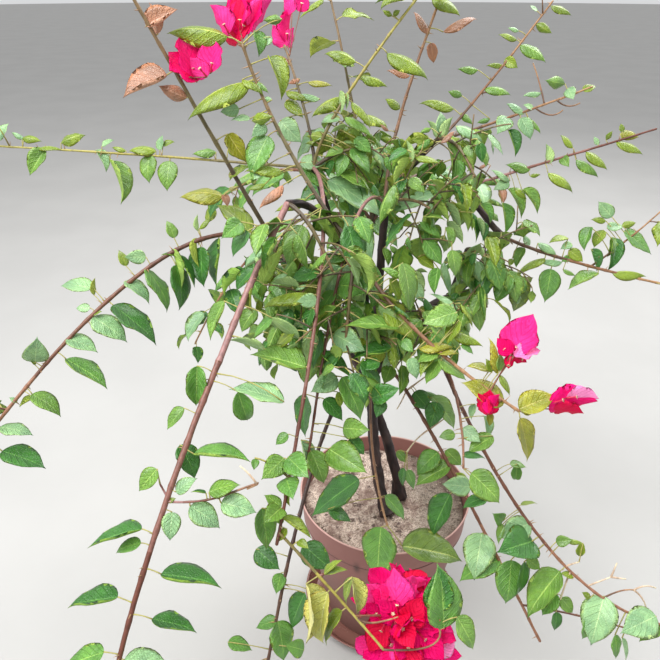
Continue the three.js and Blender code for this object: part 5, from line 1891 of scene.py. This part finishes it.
class BUSH_OT_blossom(bpy.types.Operator):
    """Opens the flowers: papery bracts round small tube flowers"""

    bl_idname = "bush.blossom"
    bl_label = "Flowers"

    def execute(self, context):
        plan = Plan(context.scene)
        stalks, tubes, bracts = Heap(), Heap(), []
        for k, (name, facts) in enumerate(BLOOMS.items()):
            self.bloom(plan, name, facts, Dice(SEEDS["blooms"] + k), stalks, tubes, bracts)
        heap = Heap()
        blade = Blade(BRACT_OUTLINE, BRACT_COLUMNS, BRACT_THICK)
        finishes = []
        for k, (tone, colours) in enumerate(TONES.items()):
            inside, outside = (srgb(*colour) for colour in colours)
            blade.pile(heap, [bract for bract in bracts if bract["tint"] == tone], 3 * k)
            finishes += [
                bract_finish(tone + "_bract", inside), bract_finish(tone + "_bract_back", outside),
                bract_finish(tone + "_bract_rib", inside),
            ]
        heap.piece("bracts", "bract", list(BLOOMS), finishes)
        stalk_finish = plain_finish("flower_stalk", srgb(138, 88, 66))
        stalks.piece("flower_stalks", "bract", list(BLOOMS), [stalk_finish])
        tube_finishes = [
            plain_finish("tube_flower", srgb(206, 30, 72)),
            plain_finish("tube_flower_mouth", (*context.scene.bush_blossom.tube, 1)),
        ]
        tubes.piece("tube_flowers", "bract", list(BLOOMS), tube_finishes)
        return {"FINISHED"}

    def bloom(self, plan, name, facts, luck, stalks, tubes, bracts):
        stem = plan.masses[facts["on"]][1 if facts.get("fork") else 0]
        curve = arch(stem.at(facts["at"]), facts["azimuth"], facts["reach"], facts["rise"])
        stalk = Stem(curve, STALK_THICK)
        share = np.linspace(0, 1, 8)
        stalks.add(*tube(stalk.at(share), stalk.radius(share) * 0.8, 6))
        hub, ahead = stalk.at(1), stalk.ahead(1)
        across = unit(np.cross(ahead, UP))
        over = np.cross(across, ahead)
        size = BUD_SIZE if facts.get("small") else 1
        eye = plan.eye
        _, (middle_depth,) = eye.pixels(hub[None])
        shown = rows(SHOWN_BRACTS[name])
        centre = np.array([row[:4] for row in shown], float).reshape(-1, 2).mean(0)
        for row in shown:
            out = np.hypot(*(np.array(row[:2]) - centre)) * middle_depth / FOCAL
            nearer = SMALL_BLOOM_NEARER if facts.get("small") else BLOOM_NEARER
            bract = plan.shown_blade(row, middle_depth - nearer + out * 0.5 + luck.between(-5, 5), luck)
            bracts.append(bract)
            if luck.roll() < 0.6:
                reach = unit(bract["axis"] - unit(hub - eye.place) * 0.7)
                self.tube_flower(bract["base"], reach, size, luck, tubes)
            foot = bract["base"]
            line = hub + (foot - hub) * np.linspace(0, 1, 5)[:, None]
            stalks.add(*tube(line, (*STALK_RADII, 0.8), 6))
        hidden = hub + unit(hub - eye.place) * 26
        for k in range(facts["flowers"] if facts["flowers"] > 3 else 0):
            lean = facts.get("spread", 0) * DEGREE * math.sqrt((k + 0.5) / facts["flowers"])
            turn = k * GOLDEN_TURN * DEGREE
            out = ahead * math.cos(lean)
            out = out + (across * math.cos(turn) + over * math.sin(turn)) * math.sin(lean)
            end = hidden + out * FLOWER_TWIG * size * luck.between(0.85, 1.15)
            line = hub + (end - hub) * np.linspace(0, 1, 5)[:, None]
            stalks.add(*tube(line, (*STALK_RADII, 0.9), 6))
            self.flower(end - out * 1.5, out, size, facts.get("small", False), luck, tubes, bracts)

    def flower(self, root, out, size, closed, luck, tubes, bracts):
        sideways = unit(np.cross(out, UP))
        other = np.cross(out, sideways)
        begin = luck.between(0, 360)
        for b in range(3):
            turn = (begin + b * 120 + luck.between(-10, 10)) * DEGREE
            way = sideways * math.cos(turn) + other * math.sin(turn)
            open_angle = (14 if closed else luck.between(24, 44)) * DEGREE
            axis = out * math.cos(open_angle) + way * math.sin(open_angle)
            normal = out * math.sin(open_angle) - way * math.cos(open_angle)
            length = BRACT_LENGTH * size * luck.between(0.88, 1.1)
            bracts.append(dict(
                base=root + way * 0.8, axis=axis, normal=normal, length=length, skew=0,
                tint=luck.pick(GROWN_TONES), width=length * BRACT_WIDTH * luck.between(0.92, 1.1),
                fold=luck.between(0.05, 0.3), roll=luck.between(0.1, 0.6) + (0.5 if closed else 0),
                droop=-luck.between(0.1, 0.5) if closed else luck.between(-0.3, 0.5),
                curl=luck.between(-0.2, 0.8) * (0 if closed else 1), twist=luck.between(-0.4, 0.4),
                wave=luck.between(0.15, 0.4), phase=luck.between(0, 6.3),
            ))
            self.tube_flower(root, unit(out + way * 0.22), size, luck, tubes)

    @staticmethod
    def tube_flower(root, way, size, luck, tubes):
        """A slim tube that swells at its foot, with a pale five-pointed mouth."""
        length = TUBE_LENGTH * size * luck.between(0.85, 1.1)
        line = root + way * np.linspace(0, length, 7)[:, None]
        tubes.add(*tube(line, np.array([0.7, 1.15, 1.2, 0.85, 0.8, 1.0, 1.2]) * size, 8))
        side = unit(np.cross(way, UP))
        over = np.cross(way, side)
        turns = np.arange(10) / 10 * 2 * math.pi
        radii = np.where(np.arange(10) % 2 == 0, 2.6, 1.4) * size
        rim = line[-1] + side * (radii * np.cos(turns))[:, None] + over * (radii * np.sin(turns))[:, None]
        lift = rim + way * 0.7 * size
        middle = line[-1] + way * 0.3 * size
        points = np.vstack([lift, middle, line[-1] - way * 0.3 * size])
        spots = np.arange(10)
        ahead = (spots + 1) % 10
        front = np.stack([spots, ahead, np.full(10, 10)], -1)
        back = np.stack([ahead, spots, np.full(10, 11)], -1)
        tubes.add(points, (front, back), (1, 1))


class BUSH_OT_stage(bpy.types.Operator):
    """Lays the floor and sets the lights and the camera"""

    bl_idname = "bush.stage"
    bl_label = "Floor, lights and camera"

    def execute(self, context):
        stage = context.scene.bush_stage
        clear_selection()
        bpy.ops.mesh.primitive_circle_add(vertices=96, radius=30, fill_type="NGON")
        floor = context.object
        floor.name = "floor"
        made = Finish("pale_floor")
        cloud = made.noise(3, 5)
        colour = (*stage.floor, 1)
        base = made.mix(made.band(cloud, 0.3, 0.7), dimmed(colour, 0.94), colour)
        floor.data.materials.append(made.surfaced(Base_Color=base, Roughness=0.7))
        self.soft_light("main_light", place=(-1.2, -0.9, 2.8), size=2.4, power=stage.light_power)
        self.soft_light("back_light", place=(1.3, 1.5, 2.6), size=2.0, power=stage.light_power * 0.6)
        world = bpy.data.worlds.new("studio")
        world.use_nodes = True
        sky = world.node_tree.nodes["Background"]
        sky.inputs["Color"].default_value = (0.97, 0.98, 1.0, 1)
        sky.inputs["Strength"].default_value = 0.72
        context.scene.world = world
        context.scene.view_settings.view_transform = "Standard"
        lens = bpy.data.cameras.new("camera")
        lens.sensor_width = 36
        lens.lens = lens.sensor_width * FOCAL / FRAME
        camera = bpy.data.objects.new("camera", lens)
        context.scene.collection.objects.link(camera)
        camera.location = CAMERA_PLACE
        camera.rotation_euler = (CAMERA_TILT, 0, 0)
        context.scene.camera = camera
        return {"FINISHED"}

    @staticmethod
    def soft_light(name, place, size, power):
        lamp = bpy.data.lights.new(name, "AREA")
        lamp.shape = "DISK"
        lamp.size = size
        lamp.energy = power
        light = bpy.data.objects.new(name, lamp)
        bpy.context.scene.collection.objects.link(light)
        light.location = place
        aim = np.array([0, 0, 0.5]) - np.array(place)
        turn = math.atan2(aim[1], aim[0])
        pitch = math.atan2(math.hypot(aim[0], aim[1]), -aim[2])
        light.rotation_euler = (pitch, 0, turn - math.pi / 2)


class BUSH_PT_panel(bpy.types.Panel):
    """Lists the bush's parts and their settings"""

    bl_idname = "BUSH_PT_panel"
    bl_label = "Bougainvillea bush"
    bl_space_type = "VIEW_3D"
    bl_region_type = "UI"
    bl_category = "Bush"

    def draw(self, context):
        for group in ("bush_pot", "bush_foliage", "bush_blossom", "bush_stage"):
            box = self.layout.box()
            settings = getattr(context.scene, group)
            for name in settings.__annotations__:
                box.prop(settings, name)
        for operator in OPERATORS:
            self.layout.operator(operator.bl_idname)


OPERATORS = (
    BUSH_OT_stage,
    BUSH_OT_pot,
    BUSH_OT_saucer,
    BUSH_OT_soil,
    BUSH_OT_limbs,
    BUSH_OT_canes,
    BUSH_OT_foliage,
    BUSH_OT_blossom,
)
SETTINGS = {
    "bush_pot": PotSettings,
    "bush_foliage": FoliageSettings,
    "bush_blossom": BlossomSettings,
    "bush_stage": StageSettings,
}


def register():
    for group in (*SETTINGS.values(), *OPERATORS, BUSH_PT_panel):
        bpy.utils.register_class(group)
    for name, group in SETTINGS.items():
        setattr(bpy.types.Scene, name, PointerProperty(type=group))


def unregister():
    for name in SETTINGS:
        delattr(bpy.types.Scene, name)
    for group in (BUSH_PT_panel, *OPERATORS, *SETTINGS.values()):
        bpy.utils.unregister_class(group)


def main():
    register()
    bpy.ops.bush.stage()
    bpy.ops.bush.pot()
    bpy.ops.bush.saucer()
    bpy.ops.bush.soil()
    bpy.ops.bush.limbs()
    bpy.ops.bush.canes()
    bpy.ops.bush.foliage()
    bpy.ops.bush.blossom()


if __name__ == "__main__":
    main()
